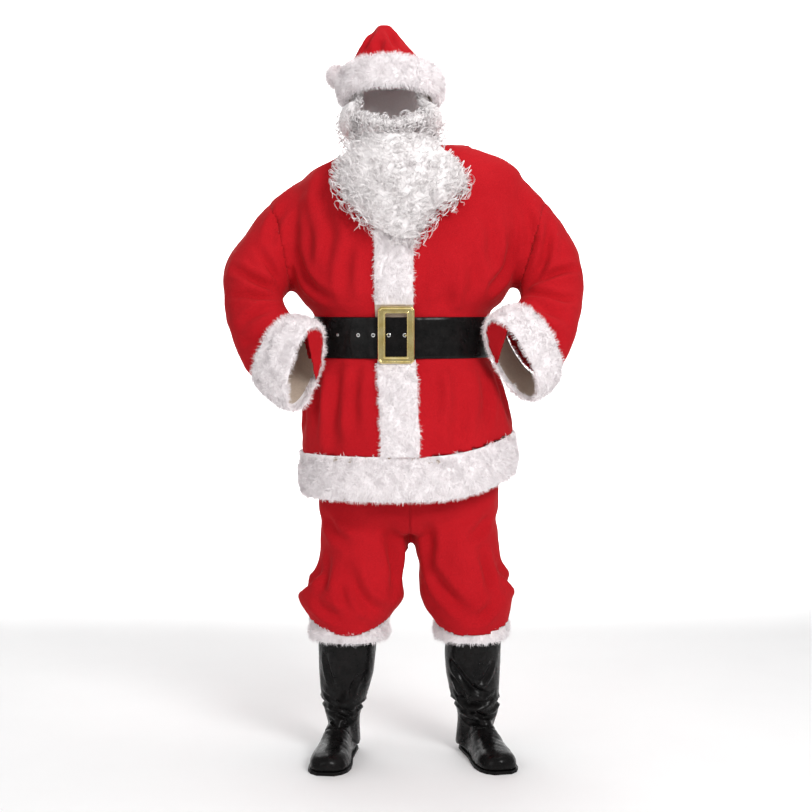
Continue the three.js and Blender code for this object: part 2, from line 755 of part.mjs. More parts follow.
// ---------- hat ----------
function hat() {
  const sides = 20;
  const outside = [CROWN, TAIL].map((rows) => leaningRings(rows, sides));
  const [crown, tail] = outside;
  const crownHollow = moved(crown, -CLOTH);
  const tailHollow = moved(tail, -CLOTH).slice(0, -1);
  const hollow = solidLoft(lengthened(crownHollow.slice(0, -1), 14, 0)).add(solidLoft(tailHollow));
  add("hat_crown", solidLoft(crown).add(solidLoft(tail)).subtract(hollow), RED_FLEECE);

  const ball = new THREE.IcosahedronGeometry(POMPOM.radius, 2);
  ball.translate(POMPOM.x, POMPOM.y, POMPOM.z);
  add("hat_pompom", mergeVertices(stripped(ball), 1e-3), WHITE_FUR);

  const way = vec(0, 0.24, 0.97).normalize();
  const deep = vec(0, 1, 0).addScaledVector(way, -way.y).normalize();
  const b = BRIM_INNER;
  const rings = Array.from({ length: 30 }, (_, j) => {
    const angle = turnOf(j, 30);
    const out = vec(Math.cos(angle), 0, 0).addScaledVector(deep, Math.sin(angle));
    const reach = Math.sin(angle) < 0 ? b.front : b.back;
    const foot = vec(HEAD.x, HEAD.y, b.z)
      .add(vec(b.half * Math.cos(angle), 0, 0))
      .addScaledVector(deep, reach * Math.sin(angle));
    return BRIM_SECTION.map((s) => foot.clone().addScaledVector(out, s.out).addScaledVector(way, s.up));
  });
  add("hat_brim", loft(rings, true), WHITE_FUR);
}

// ---------- beard and wig ----------
function beard() {
  const across = Array.from({ length: 13 }, (_, k) => k / 6 - 1);
  const rings = BEARD.map((row) => {
    const back = across.map((u) => vec(row.x + row.half * u, row.back + row.sweep * u * u, row.z));
    const front = across
      .slice(1, -1)
      .map((u) => {
        const bulge = (row.front - row.back) * Math.sqrt(1 - u * u);
        return vec(row.x + row.half * u, row.back + bulge + row.sweep * u * u, row.z);
      })
      .reverse();
    return [...back, ...front];
  });
  add("beard", loft(rings), WHITE_CURLS);
}

function moustache() {
  const middles = MOUSTACHE.map((r) => vec(r.x, r.y, r.z));
  const rings = MOUSTACHE.map((row, i) => {
    const next = middles[Math.min(i + 1, middles.length - 1)];
    const way = next.clone().sub(middles[Math.max(i - 1, 0)]).normalize();
    const up = vec(0, 0, 1).addScaledVector(way, -way.z).normalize();
    const out = way.clone().cross(up);
    return ovalRing(middles[i], out.multiplyScalar(row.radius * 0.8), up.multiplyScalar(row.radius), 12);
  });
  add("moustache", loft(rings), WHITE_CURLS);
}

function wig() {
  const steps = 18;
  const from = -Math.PI / 2 + WIG_OPEN;
  const span = 2 * Math.PI - 2 * WIG_OPEN;
  const turns = Array.from({ length: steps + 1 }, (_, k) => from + (span * k) / steps);
  const at = (angle, side, back, z) => {
    const reach = Math.sin(angle) > 0 ? back : side;
    const y = reach * Math.sin(angle);
    return vec(HEAD.x + side * Math.cos(angle), HEAD.y + y, z - WIG_LEAN * y);
  };
  const rings = WIG.map((row) => {
    const inner = turns.map((angle) => at(angle, row.inner, row.innerBack, row.z));
    const outer = turns.map((angle) => at(angle, row.outer, row.outerBack, row.z));
    return [...inner, ...outer.reverse()];
  });
  add("wig", loft(rings, false, true), WHITE_CURLS);
}

// ---------- boots ----------
const shaftRowsOf = { left: SHAFT_LEFT, right: SHAFT_RIGHT };
const footOf = { left: BOOT_LEFT, right: BOOT_RIGHT };

// A station of the foot: its middle and the way across it.
function footAxis(side) {
  const { heel, toe } = footOf[side];
  const start = vec(...heel, 0);
  const way = vec(...toe, 0).sub(start).normalize();
  return { start, way, across: vec(-way.y, way.x, 0) };
}

function footRings(side, less) {
  const { start, way, across } = footAxis(side);
  const floor = SOLE_THICK + SEAM + less;
  const last = FOOT.length - 1;
  return FOOT.map((row, i) => {
    const shift = i === 0 ? less : i === last ? -less : 0;
    const middle = start.clone().addScaledVector(way, row.along + shift);
    return Array.from({ length: LIMB_SIDES }, (_, j) => {
      const c = Math.cos(turnOf(j, LIMB_SIDES));
      const s = Math.sin(turnOf(j, LIMB_SIDES));
      const top = SOLE_THICK + SEAM + row.high - less;
      const z = floor + (s > 1e-9 ? (top - floor) * rounded(s, 2.5) : 0);
      return middle.clone().addScaledVector(across, (row.half - less) * rounded(c, 2.5)).setZ(z);
    });
  });
}

function boot(side) {
  const shaft = shaftRowsOf[side].map((row) =>
    ovalRing(vec(row.x, row.y, row.z), vec(row.half, 0, 0), vec(0, row.deep, 0), LIMB_SIDES),
  );
  const outer = solidLoft(shaft).add(solidLoft(footRings(side, 0)));
  const inner = solidLoft(lengthened(moved(shaft, -VINYL), 0, 12)).add(solidLoft(footRings(side, VINYL)));
  const { start, way, across } = footAxis(side);
  const seamAt = start.clone().addScaledVector(way, 112).setZ(70);
  const facing = way.clone().multiplyScalar(0.6).add(vec(0, 0, -0.8)).normalize();
  const sheet = new THREE.BoxGeometry(400, 400, SEAM);
  const turn = new THREE.Matrix4().makeBasis(across, facing.clone().cross(across), facing);
  sheet.applyMatrix4(turn).translate(seamAt.x, seamAt.y, seamAt.z);
  const pieces = outer.subtract(inner).subtract(toSolid(sheet)).decompose();
  pieces.sort((a, b) => b.boundingBox().max[2] - a.boundingBox().max[2]);
  add(`boot_shaft_${side}`, pieces[0], BLACK_VINYL);
  add(`boot_vamp_${side}`, pieces[1], BLACK_VINYL);

  const reach = FOOT.map((row, i) => {
    const end = i === 0 ? -SOLE_LIP : i === FOOT.length - 1 ? SOLE_LIP : 0;
    return { along: row.along + end, half: row.half + SOLE_LIP };
  });
  const place = (along, off) => start.clone().addScaledVector(way, along).addScaledVector(across, off);
  const edge = [
    ...reach.map((r) => place(r.along, r.half)),
    ...[...reach].reverse().map((r) => place(r.along, -r.half)),
  ];
  const sole = solidLoft([edge, edge.map((p) => vec(p.x, p.y, SOLE_THICK))]);
  const arch = boxSolid(
    vec(ARCH.to - ARCH.from, 200, 2 * ARCH.high),
    place((ARCH.from + ARCH.to) / 2, 0),
    way,
  );
  add(`boot_sole_${side}`, sole.subtract(arch), BLACK_RUBBER);
}

// ---------- build ----------
jacket();
furHem();
furCuff("left");
furCuff("right");
furPlacket();
belt();
beltMetal();
buckle();
trousers();
furLeg("left");
furLeg("right");
hat();
beard();
moustache();
wig();
boot("left");
boot("right");

suit.position.z = -HOLD_HEIGHT;
const root = new THREE.Group();
root.add(suit);
export default root;
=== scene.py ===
"""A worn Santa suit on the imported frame: fleece cloth, fur trims, curled hair, vinyl and metal.

Lengths are millimetres, and heights are above the floor, until a mesh is made in the row frame.
"""

import json  # noqa: E402
import math  # noqa: E402

import bpy  # noqa: E402
import numpy as np  # noqa: E402
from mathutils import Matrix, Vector  # noqa: E402
from mathutils.bvhtree import BVHTree  # noqa: E402

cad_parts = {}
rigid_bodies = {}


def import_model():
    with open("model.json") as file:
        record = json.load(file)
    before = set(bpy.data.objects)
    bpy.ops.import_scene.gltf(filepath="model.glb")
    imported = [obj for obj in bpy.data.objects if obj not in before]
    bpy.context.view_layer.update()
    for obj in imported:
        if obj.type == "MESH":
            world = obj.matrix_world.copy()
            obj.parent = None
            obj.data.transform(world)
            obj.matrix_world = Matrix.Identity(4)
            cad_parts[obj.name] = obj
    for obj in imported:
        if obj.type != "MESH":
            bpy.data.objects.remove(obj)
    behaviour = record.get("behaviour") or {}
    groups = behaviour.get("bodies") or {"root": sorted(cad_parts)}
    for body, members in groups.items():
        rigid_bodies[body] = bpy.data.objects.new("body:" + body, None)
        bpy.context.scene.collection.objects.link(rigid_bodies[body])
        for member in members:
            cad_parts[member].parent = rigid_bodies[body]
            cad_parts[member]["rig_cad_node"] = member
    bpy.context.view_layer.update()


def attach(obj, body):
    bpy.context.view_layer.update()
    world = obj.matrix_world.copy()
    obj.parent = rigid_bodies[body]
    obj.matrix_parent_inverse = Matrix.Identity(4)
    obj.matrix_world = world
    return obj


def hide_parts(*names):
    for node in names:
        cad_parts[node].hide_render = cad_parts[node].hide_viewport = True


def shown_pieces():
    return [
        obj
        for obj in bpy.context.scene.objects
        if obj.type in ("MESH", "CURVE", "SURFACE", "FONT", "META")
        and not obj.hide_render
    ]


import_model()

# ---------- driving sizes ----------
HOLD_HEIGHT = 1500  # the row frame's origin above the floor
CLOTH = 2
CLEAR = 0.6
FUR_REACH = 20
PILE = 11  # length of the fur's strands
HAIR = np.random.default_rng(12)

SEAM = 0.3  # between neighbouring pieces
BEARD_DEPTH = 12.0  # how deep the curls stand on the beard's base
LOWEST_CURLS, HIGHEST_CURLS, CURL_ROW = 1318, 1636, 13  # heights and spacing of the beard's rows
BEARD_TOP = 1596

BELT_LOW, BELT_HIGH, BELT_THICK = 1039, 1141, 3
TIP_FROM, TIP_TO = 26, -140
# x is the middle, low and high are heights, and window is the half width of the gap
BUCKLE = {"x": -24, "low": 1028, "high": 1167, "half": 45, "window": 26, "bar": 17}
PLACKET_HALF = 53
PLACKET_PRESSED = 4
JACKET_MIDDLE = -25
SIDE_SEAM_Y = 8
NECK = 1574
# A sleeve's cloth lies beyond this x, or in front of this y, and above this height.
SLEEVE_X, FOREARM_Y, SLEEVE_LOWEST = 190, -110, 880
# The belt holds the jacket flat within this half width of its middle.
BELTED_MIDDLE, BELTED_HALF = -10, 236
SHOULDER_SEAM_LOWEST = 1180
TROUSER_MIDDLE = 8
TROUSER_TOP = 1015
BOOT_TOP = 345
VAMP_TOP = 150
# How fine each remeshed skin is, and how near a seam's plane its border points are drawn in.
CLOTH_SKIN = {"voxel": 7.5, "reach": 8.8}
HAT_SKIN = {"voxel": 5, "reach": 6}
BOOT_SKIN = {"voxel": 5, "reach": 5.5}


def table(names, rows):
    """Named columns, each an array with a value for each row."""
    return dict(zip(names.split(), np.array(rows, float).T))


# The rings of the cut, as in the CAD: centre, half width, reach to front and back, how square.
TORSO = table(
    "z x half front back power rise_l rise_r",
    [
        [690, 6, 264, 212, 182, 2.3, 52, 0],
        [745, 6, 266, 211, 180, 2.3, 52, 0],
        [800, 4, 267, 209, 176, 2.3, 50, 0],
        [905, -3, 259, 199, 163, 2.3, 20, 0],
        [1000, -9, 243, 187, 147, 2.3, 0, 0],
        [1035, -10, 222, 174, 132, 2.3, 0, 0],
        [1145, -10, 222, 174, 132, 2.3, 0, 0],
        [1172, -11, 248, 180, 139, 2.4, 0, 0],
        [1215, -12, 273, 191, 146, 2.5, 0, 0],
        [1310, -4, 288, 184, 149, 2.7, 0, 0],
        [1400, 3, 292, 162, 142, 2.8, 5, -5],
        [1470, 8, 287, 133, 124, 2.8, 10, -10],
        [1515, 11, 258, 104, 104, 2.7, 10, -10],
        [1550, 14, 184, 84, 90, 2.3, 8, -8],
        [1568, 8, 120, 76, 80, 2.1, 5, -5],
        [1576, 0, 92, 72, 75, 2, 0, 0],
    ],
)
HIPS = table(
    "z x half front back power rise_l rise_r",
    [
        [598, 8, 190, 96, 90, 2.2, 0, 0],
        [625, 8, 222, 122, 118, 2.4, 0, 0],
        [660, 8, 230, 138, 132, 2.4, 0, 0],
        [760, 6, 228, 150, 142, 2.3, 0, 0],
        [880, 0, 216, 150, 140, 2.2, 0, 0],
        [980, -6, 196, 138, 120, 2.2, 0, 0],
        [1015, -8, 188, 132, 114, 2.2, 0, 0],
    ],
)
LEGS = {
    "right": table(
        "z x y half front back droop",
        [
            [376, -146, 0, 103, 104, 100, 34],
            [398, -145, 0, 120, 114, 106, 22],
            [424, -139, 0, 136, 120, 110, 12],
            [459, -127, 0, 122, 118, 110, 4],
            [510, -114, 0, 110, 114, 110, 0],
            [600, -106, 0, 113, 118, 112, 0],
            [660, -96, 0, 108, 112, 108, 0],
        ],
    ),
    "left": table(
        "z x y half front back droop",
        [
            [368, 168, 0, 97, 100, 97, 30],
            [394, 160, 0, 112, 112, 104, 18],
            [432, 155, 0, 122, 118, 108, 8],
            [465, 150, 0, 118, 116, 108, 2],
            [515, 138, 0, 108, 114, 108, 0],
            [600, 123, 0, 111, 118, 112, 0],
            [660, 112, 0, 108, 112, 108, 0],
        ],
    ),
}
# Each arm ring passes through a far point on the elbow's side and a near one in the crook.
SLEEVE_ROWS = 9  # the rows before the fur cuff begins
ARMS = {
    "left": table(
        "far_x far_y far_z near_x near_y near_z depth",
        [
            [286, 0, 1496, 215, 0, 1240, 88],
            [352, 0, 1430, 288, 0, 1212, 92],
            [411, -6, 1354, 292, -8, 1204, 90],
            [444, -14, 1290, 293, -22, 1199, 86],
            [451, -24, 1238, 294, -36, 1195, 82],
            [440, -44, 1164, 294, -56, 1191, 80],
            [423, -68, 1098, 290, -78, 1185, 78],
            [398, -92, 1040, 280, -106, 1177, 76],
            [363, -118, 992, 264, -136, 1165, 72],
            [336, -142, 962, 236, -176, 1149, 68],
            [307, -168, 936, 206, -212, 1136, 58],
        ],
    ),
    "right": table(
        "far_x far_y far_z near_x near_y near_z depth",
        [
            [-272, 0, 1486, -215, 0, 1228, 88],
            [-346, -4, 1424, -296, -4, 1204, 92],
            [-407, -18, 1352, -301, -20, 1198, 90],
            [-449, -34, 1290, -305, -40, 1194, 86],
            [-462, -50, 1236, -308, -60, 1190, 82],
            [-452, -70, 1162, -307, -80, 1182, 78],
            [-432, -92, 1092, -302, -102, 1170, 76],
            [-403, -114, 1030, -292, -124, 1154, 74],
            [-360, -138, 978, -277, -150, 1138, 70],
            [-316, -162, 944, -246, -182, 1129, 64],
            [-272, -186, 912, -217, -216, 1120, 56],
        ],
    ),
}
CROWN = table(
    "x y z half deep lean_x lean_y lean_z",
    [
        [-39, 5, 1722, 102, 99, 0, 0.24, 0.97],
        [-44, 10, 1760, 96, 94, 0, 0.24, 0.97],
        [-52, 14, 1796, 78, 82, 0, 0.2, 0.98],
        [-57, 16, 1830, 54, 62, 0, 0.1, 0.99],
        [-54, 16, 1858, 30, 42, 0, 0, 1],
        [-54, 14, 1876, 15, 20, 0, 0, 1],
    ],
)
TAIL = table(
    "x y z half deep lean_x lean_y lean_z",
    [
        [-58, 26, 1850, 18, 20, -0.2, 0.7, 0.5],
        [-68, 58, 1844, 22, 20, -0.5, 0.8, -0.2],
        [-90, 84, 1822, 20, 18, -0.6, 0.5, -0.6],
        [-122, 100, 1798, 15, 15, -0.8, 0.2, -0.5],
        [-152, 103, 1781, 11, 11, -0.8, 0, -0.6],
    ],
)
HEAD = np.array([-39.0, 5.0])
BRIM_LEAN = 0.24
BRIM_Z = 1722
BRIM_SECTION = table(
    "out up",
    [[0, -44], [20, -47], [34, -30], [38, 0], [32, 28], [16, 45], [0, 42]],
)
POMPOM = {"centre": (-180, 103, 1760), "radius": 33}
BEARD = table(
    "z x half back front sweep",
    [
        [1596, -33, 104, -112, -146, 62],
        [1560, -26, 128, -122, -176, 44],
        [1520, -16, 158, -130, -196, 24],
        [1480, -10, 168, -152, -208, 16],
        [1440, -16, 150, -173, -216, 14],
        [1405, -24, 110, -188, -220, 8],
        [1375, -22, 84, -193, -219, 5],
        [1350, -10, 58, -196, -215, 3],
        [1332, 2, 36, -198, -211, 2],
    ],
)
MOUSTACHE = table(
    "x y z radius",
    [
        [-124, -74, 1640, 8],
        [-106, -104, 1632, 15],
        [-70, -128, 1620, 17],
        [-33, -136, 1615, 17],
        [6, -128, 1622, 17],
        [40, -104, 1636, 15],
        [58, -74, 1646, 8],
    ],
)
WIG = table(
    "z inner outer inner_back outer_back",
    [
        [1598, 100, 120, 84, 104],
        [1630, 96, 136, 90, 120],
        [1654, 93, 132, 84, 112],
        [1668, 89, 102, 75, 86],
        [1740, 78, 90, 67, 78],
    ],
)
WIG_OPEN = math.radians(52)
SHAFTS = {
    "right": table(
        "z x y half deep",
        [
            [30, -158, 46, 40, 52],
            [84, -162, 40, 42, 56],
            [120, -164, 32, 47, 60],
            [179, -159, 20, 63, 68],
            [240, -153, 10, 72, 74],
            [345, -150, 0, 76, 76],
        ],
    ),
    "left": table(
        "z x y half deep",
        [
            [30, 168, 46, 40, 52],
            [84, 182, 40, 48, 56],
            [120, 186, 32, 54, 60],
            [179, 177, 20, 64, 68],
            [240, 172, 10, 71, 74],
            [345, 174, 0, 73, 74],
        ],
    ),
}
FOOT = table(
    "along half high",
    [
        [-8, 12, 30],
        [0, 28, 44],
        [24, 37, 66],
        [70, 38, 92],
        [120, 39, 86],
        [170, 46, 60],
        [215, 50, 48],
        [250, 46, 42],
        [272, 36, 34],
        [284, 18, 22],
    ],
)
FEET = {
    "right": {"heel": (-162, 84), "toe": (-200, -203)},
    "left": {"heel": (172, 90), "toe": (238, -178)},
}
SOLE_THICK = 18

# ---------- folds, placed one by one -------
FOLD_GAIN = 1.9
BOOT_CRUMPLE = 1.5  # the thinner vinyl folds more sharply than the cloth
# Each fold is a soft trough with raised sides: how deep and wide it is, which way it is seen
# from, and its course. Seen from the front or back the course is x and z; from a side, y and z.
JACKET_FOLDS = [
    # depth, width, seen from, course
    (7, 20, "front", [(-196, 1500), (-205, 1420), (-188, 1330), (-196, 1250)]),
    (6, 17, "front", [(-140, 1330), (-150, 1260), (-146, 1190)]),
    (5, 16, "front", [(-238, 1420), (-232, 1340), (-240, 1280)]),
    (6, 20, "front", [(150, 1300), (168, 1240), (160, 1180)]),
    (5, 18, "front", [(196, 1390), (214, 1330), (206, 1270)]),
    (6, 16, "front", [(262, 1330), (254, 1270), (226, 1226), (196, 1200)]),
    (7, 14, "front", [(-270, 1300), (-255, 1250), (-226, 1210), (-186, 1186)]),
    (5, 18, "front", [(90, 1230), (96, 1190), (90, 1160)]),
    (7, 20, "front", [(-176, 1030), (-170, 960), (-182, 880), (-176, 815)]),
    (6, 16, "front", [(-126, 1020), (-134, 950), (-128, 870)]),
    (5, 15, "front", [(-216, 1000), (-222, 930), (-216, 860)]),
    (6, 20, "front", [(120, 1026), (134, 950), (128, 860), (136, 815)]),
    (5, 16, "front", [(190, 1010), (202, 940), (196, 880)]),
    (4, 16, "front", [(70, 1020), (76, 960), (72, 900)]),
    (7, 22, "back", [(-150, 1440), (-120, 1360), (-128, 1260), (-120, 1180)]),
    (6, 20, "back", [(130, 1460), (112, 1360), (126, 1270), (112, 1176)]),
    (5, 18, "back", [(-20, 1420), (-8, 1320), (-22, 1220)]),
    (5, 18, "back", [(40, 1260), (52, 1200), (44, 1160)]),
    (7, 22, "back", [(-110, 1024), (-122, 950), (-116, 860), (-124, 815)]),
    (6, 20, "back", [(20, 1026), (10, 940), (22, 850)]),
    (7, 20, "back", [(116, 1020), (130, 940), (124, 870), (132, 815)]),
    (5, 16, "back", [(-190, 1000), (-200, 930), (-194, 870)]),
    (6, 15, "back", [(-262, 1330), (-246, 1270), (-216, 1220)]),
    (6, 15, "back", [(262, 1336), (246, 1276), (216, 1226)]),
    (6, 20, "right", [(-60, 1020), (-50, 940), (-62, 850)]),
    (5, 18, "left", [(-50, 1020), (-60, 940), (-52, 880)]),
    # sleeve folds: they gather at the crook of each elbow
    (9, 11, "front", [(-312, 1206), (-350, 1222), (-396, 1246), (-430, 1262)]),
    (7, 10, "front", [(-312, 1192), (-352, 1190), (-400, 1196), (-440, 1196)]),
    (6, 10, "front", [(-310, 1216), (-336, 1262), (-368, 1310)]),
    (5, 12, "front", [(-322, 1170), (-362, 1150), (-404, 1130)]),
    (5, 13, "front", [(-300, 1420), (-326, 1372), (-338, 1310)]),
    (5, 12, "front", [(-330, 1110), (-370, 1084), (-402, 1076)]),
    (9, 11, "front", [(300, 1222), (336, 1262), (352, 1320), (358, 1378)]),
    (8, 10, "front", [(302, 1214), (346, 1240), (398, 1258), (430, 1262)]),
    (7, 10, "front", [(302, 1200), (342, 1196), (392, 1186), (426, 1190)]),
    (5, 12, "front", [(310, 1180), (350, 1156), (396, 1142)]),
    (6, 13, "front", [(296, 1420), (310, 1360), (304, 1296)]),
    (5, 12, "front", [(318, 1130), (356, 1100), (392, 1088)]),
    (8, 12, "back", [(-312, 1206), (-356, 1230), (-410, 1256)]),
    (7, 11, "back", [(-314, 1190), (-360, 1180), (-420, 1186)]),
    (6, 13, "back", [(-306, 1230), (-334, 1290), (-356, 1350)]),
    (8, 12, "back", [(302, 1212), (350, 1236), (404, 1258)]),
    (7, 11, "back", [(304, 1196), (352, 1186), (410, 1182)]),
    (6, 13, "back", [(298, 1236), (326, 1296), (350, 1356)]),
]
TROUSER_FOLDS = [
    (9, 16, "front", [(-146, 520), (-128, 470), (-92, 420), (-54, 396)]),
    (7, 13, "front", [(-160, 500), (-158, 450), (-140, 410)]),
    (6, 15, "front", [(-196, 540), (-206, 480), (-214, 440)]),
    (8, 18, "front", [(-40, 620), (-34, 560), (-26, 500), (-30, 450)]),
    (6, 14, "front", [(-200, 640), (-180, 600), (-140, 574)]),
    (6, 15, "front", [(-240, 440), (-200, 404), (-160, 384)]),
    (8, 16, "front", [(60, 520), (84, 470), (120, 430), (156, 400)]),
    (7, 14, "front", [(190, 560), (206, 500), (214, 450)]),
    (6, 14, "front", [(226, 430), (196, 398), (170, 380)]),
    (7, 16, "front", [(52, 630), (60, 570), (56, 510)]),
    (6, 14, "front", [(208, 640), (184, 606), (150, 584)]),
    (8, 18, "back", [(-150, 560), (-120, 500), (-128, 440), (-100, 400)]),
    (7, 15, "back", [(-60, 640), (-70, 570), (-56, 500)]),
    (6, 14, "back", [(-200, 520), (-206, 460), (-180, 410)]),
    (8, 18, "back", [(150, 560), (128, 500), (140, 440), (120, 396)]),
    (7, 15, "back", [(66, 640), (74, 570), (62, 500)]),
    (6, 14, "back", [(206, 520), (214, 460), (196, 410)]),
    (7, 15, "right", [(-60, 520), (-20, 460), (40, 430)]),
    (7, 15, "left", [(-60, 520), (-10, 466), (50, 440)]),
]
HAT_FOLDS = [
    (6, 9, "front", [(-112, 1800), (-92, 1832), (-78, 1862)]),
    (5, 9, "front", [(-20, 1800), (-34, 1836), (-44, 1862)]),
    (5, 10, "front", [(-70, 1796), (-64, 1830)]),
    (6, 10, "back", [(-90, 1800), (-76, 1836), (-62, 1862)]),
    (6, 10, "back", [(-10, 1800), (-30, 1838), (-48, 1862)]),
    (4, 8, "right", [(20, 1840), (48, 1832), (80, 1818)]),
]
BOOT_FOLDS = {
    "right": [
        (4, 6, "front", [(-204, 150), (-180, 138), (-150, 128), (-128, 116)]),
        (4, 6, "front", [(-206, 126), (-180, 124), (-152, 110), (-132, 104)]),
        (3, 5, "front", [(-214, 178), (-190, 160), (-170, 152)]),
        (3, 6, "front", [(-196, 108), (-170, 98), (-140, 96)]),
        (3, 8, "front", [(-206, 280), (-196, 230), (-186, 200)]),
        (3, 7, "front", [(-120, 230), (-136, 200), (-140, 170)]),
        (4, 7, "back", [(-200, 140), (-164, 128), (-130, 140)]),
        (3, 6, "back", [(-204, 170), (-164, 160), (-126, 172)]),
        (3, 6, "right", [(-20, 140), (20, 150), (60, 130)]),
        (3, 6, "left", [(-20, 130), (20, 142), (60, 120)]),
    ],
    "left": [
        (5, 8, "front", [(116, 262), (146, 220), (176, 190), (214, 176)]),
        (5, 7, "front", [(130, 176), (158, 150), (190, 150), (226, 168)]),
        (4, 6, "front", [(138, 132), (170, 128), (204, 112), (230, 116)]),
        (3, 6, "front", [(146, 108), (176, 100), (214, 98)]),
        (4, 8, "front", [(124, 220), (142, 190), (150, 150)]),
        (3, 7, "front", [(220, 262), (204, 226), (180, 204)]),
        (4, 7, "back", [(146, 150), (186, 138), (226, 152)]),
        (3, 6, "back", [(140, 200), (180, 184), (230, 196)]),
        (3, 6, "right", [(-20, 140), (20, 150), (60, 130)]),
        (3, 6, "left", [(-20, 134), (20, 148), (60, 128)]),
    ],
}


# ---------- curves and rings ----------
def smooth_between(s, values, at):
    """A monotone cubic through values at s, so that nothing overshoots a row."""
    h = np.diff(s)
    slope = np.diff(values) / h
    m = np.zeros_like(values)
    same = slope[:-1] * slope[1:] > 0
    w1, w2 = 2 * h[1:] + h[:-1], h[1:] + 2 * h[:-1]
    safe = np.where(same, slope[:-1] * slope[1:], 1)
    inner = (w1 + w2) * safe / (w1 * slope[1:] + w2 * slope[:-1] + (~same))
    m[1:-1] = np.where(same, inner, 0)
    m[0], m[-1] = slope[0], slope[-1]
    k = np.clip(np.searchsorted(s, at) - 1, 0, len(h) - 1)
    t = (at - s[k]) / h[k]
    h00, h10 = (1 + 2 * t) * (1 - t) ** 2, t * (1 - t) ** 2
    h01, h11 = t * t * (3 - 2 * t), t * t * (t - 1)
    return h00 * values[k] + h10 * h[k] * m[k] + h01 * values[k + 1] + h11 * h[k] * m[k + 1]


def finer(rows, count, track):
    """The table carried smoothly through its rows, evenly along the columns named in track."""
    steps = sum(np.diff(rows[name]) ** 2 for name in track.split())
    s = np.concatenate([[0], np.cumsum(np.sqrt(steps))])
    at = np.linspace(0, s[-1], count)
    return {name: smooth_between(s, column, at) for name, column in rows.items()}


def turn(sides):
    return np.arange(sides) * 2 * np.pi / sides


def squared(value, power):
    return np.sign(value) * np.abs(value) ** (2 / power)


def level_rings(rows, sides):
    r = {name: column[:, None] for name, column in rows.items()}
    c, s = np.cos(turn(sides))[None], np.sin(turn(sides))[None]
    rise = np.where(c > 0, r["rise_l"], r["rise_r"]) * c * c
    reach = np.where(s < 0, r["front"], r["back"])
    x = r["x"] + r["half"] * squared(c, r["power"])
    y = reach * squared(s, r["power"])
    return np.stack([x, y, r["z"] + rise], -1)


def leg_rings(rows, sides):
    r = {name: column[:, None] for name, column in rows.items()}
    c, s = np.cos(turn(sides))[None], np.sin(turn(sides))[None]
    reach = np.where(s < 0, r["front"], r["back"])
    fall = np.where(s < 0, r["droop"], 0) * s * s
    return np.stack([r["x"] + r["half"] * c, r["y"] + reach * s, r["z"] - fall], -1)


def unit(v):
    return v / np.maximum(np.linalg.norm(v, axis=-1, keepdims=True), 1e-9)


def oval_rings(centre, u, v, sides, power=2):
    c, s = squared(np.cos(turn(sides)), power), squared(np.sin(turn(sides)), power)
    return centre[:, None] + u[:, None] * c[None, :, None] + v[:, None] * s[None, :, None]


def arm_rings(rows, sides):
    far = np.stack([rows["far_x"], rows["far_y"], rows["far_z"]], -1)
    near = np.stack([rows["near_x"], rows["near_y"], rows["near_z"]], -1)
    middle = (far + near) / 2
    along = np.gradient(middle, axis=0)
    u = far - middle
    v = unit(np.cross(along, u)) * rows["depth"][:, None]
    return oval_rings(middle, u, v, sides, 2.2)


def leaning_rings(rows, sides):
    way = unit(np.stack([rows["lean_x"], rows["lean_y"], rows["lean_z"]], -1))
    deep = unit(np.array([0, 1.0, 0]) - way * way[:, 1:2])
    wide = np.cross(deep, way)
    centre = np.stack([rows["x"], rows["y"], rows["z"]], -1)
    return oval_rings(centre, wide * rows["half"][:, None], deep * rows["deep"][:, None], sides)


def ring_normals(rings):
    """The outward way at each point of a grid of rings."""
    round_ = np.roll(rings, -1, 1) - np.roll(rings, 1, 1)
    along = np.roll(rings, -1, 0) - np.roll(rings, 1, 0)
    along[0], along[-1] = rings[1] - rings[0], rings[-1] - rings[-2]
    n = unit(np.cross(round_, along))
    out = rings - rings.mean(1, keepdims=True)
    return n * np.sign((n * out).sum())


def ripple(points, wave, seed, count=9):
    """A smooth uneven field from -1 to 1 or so, with about the given wavelength."""
    rng = np.random.default_rng(seed)
    way = unit(rng.normal(size=(count, 3))) * (2 * np.pi / wave) * rng.uniform(0.7, 1.5, (count, 1))
    return np.sin(points @ way.T + rng.uniform(0, 2 * np.pi, count)).sum(-1) / math.sqrt(count)


# ---------- meshes ----------
def to_frame(points):
    return (np.asarray(points, float) - [0, 0, HOLD_HEIGHT]) * 0.001


def grid_faces(rings, sides, looped=False, start=0):
    i = np.arange(rings if looped else rings - 1)[:, None]
    j = np.arange(sides)[None]
    a = i * sides + j
    b = i * sides + (j + 1) % sides
    c = ((i + 1) % rings) * sides + (j + 1) % sides
    d = ((i + 1) % rings) * sides + j
    return (np.stack([a, b, c, d], -1).reshape(-1, 4) + start).tolist()


def outward(points, faces):
    """The faces turned so that they face out of a closed form."""
    p = np.asarray(points)
    volume = 0
    for f in faces:
        for k in range(1, len(f) - 1):
            volume += np.dot(p[f[0]], np.cross(p[f[k]], p[f[k + 1]]))
    return faces if volume > 0 else [f[::-1] for f in faces]


def tube(rings, looped=False):
    """Points and faces of a closed tube, its ends capped unless its rings form a loop."""
    count, sides = rings.shape[:2]
    points = rings.reshape(-1, 3)
    faces = grid_faces(count, sides, looped)
    if not looped:
        points = np.vstack([points, rings[0].mean(0), rings[-1].mean(0)])
        first, last = count * sides, count * sides + 1
        top = (count - 1) * sides
        for j in range(sides):
            k = (j + 1) % sides
            faces.append([first, k, j])
            faces.append([last, top + j, top + k])
    return points, outward(points, faces)


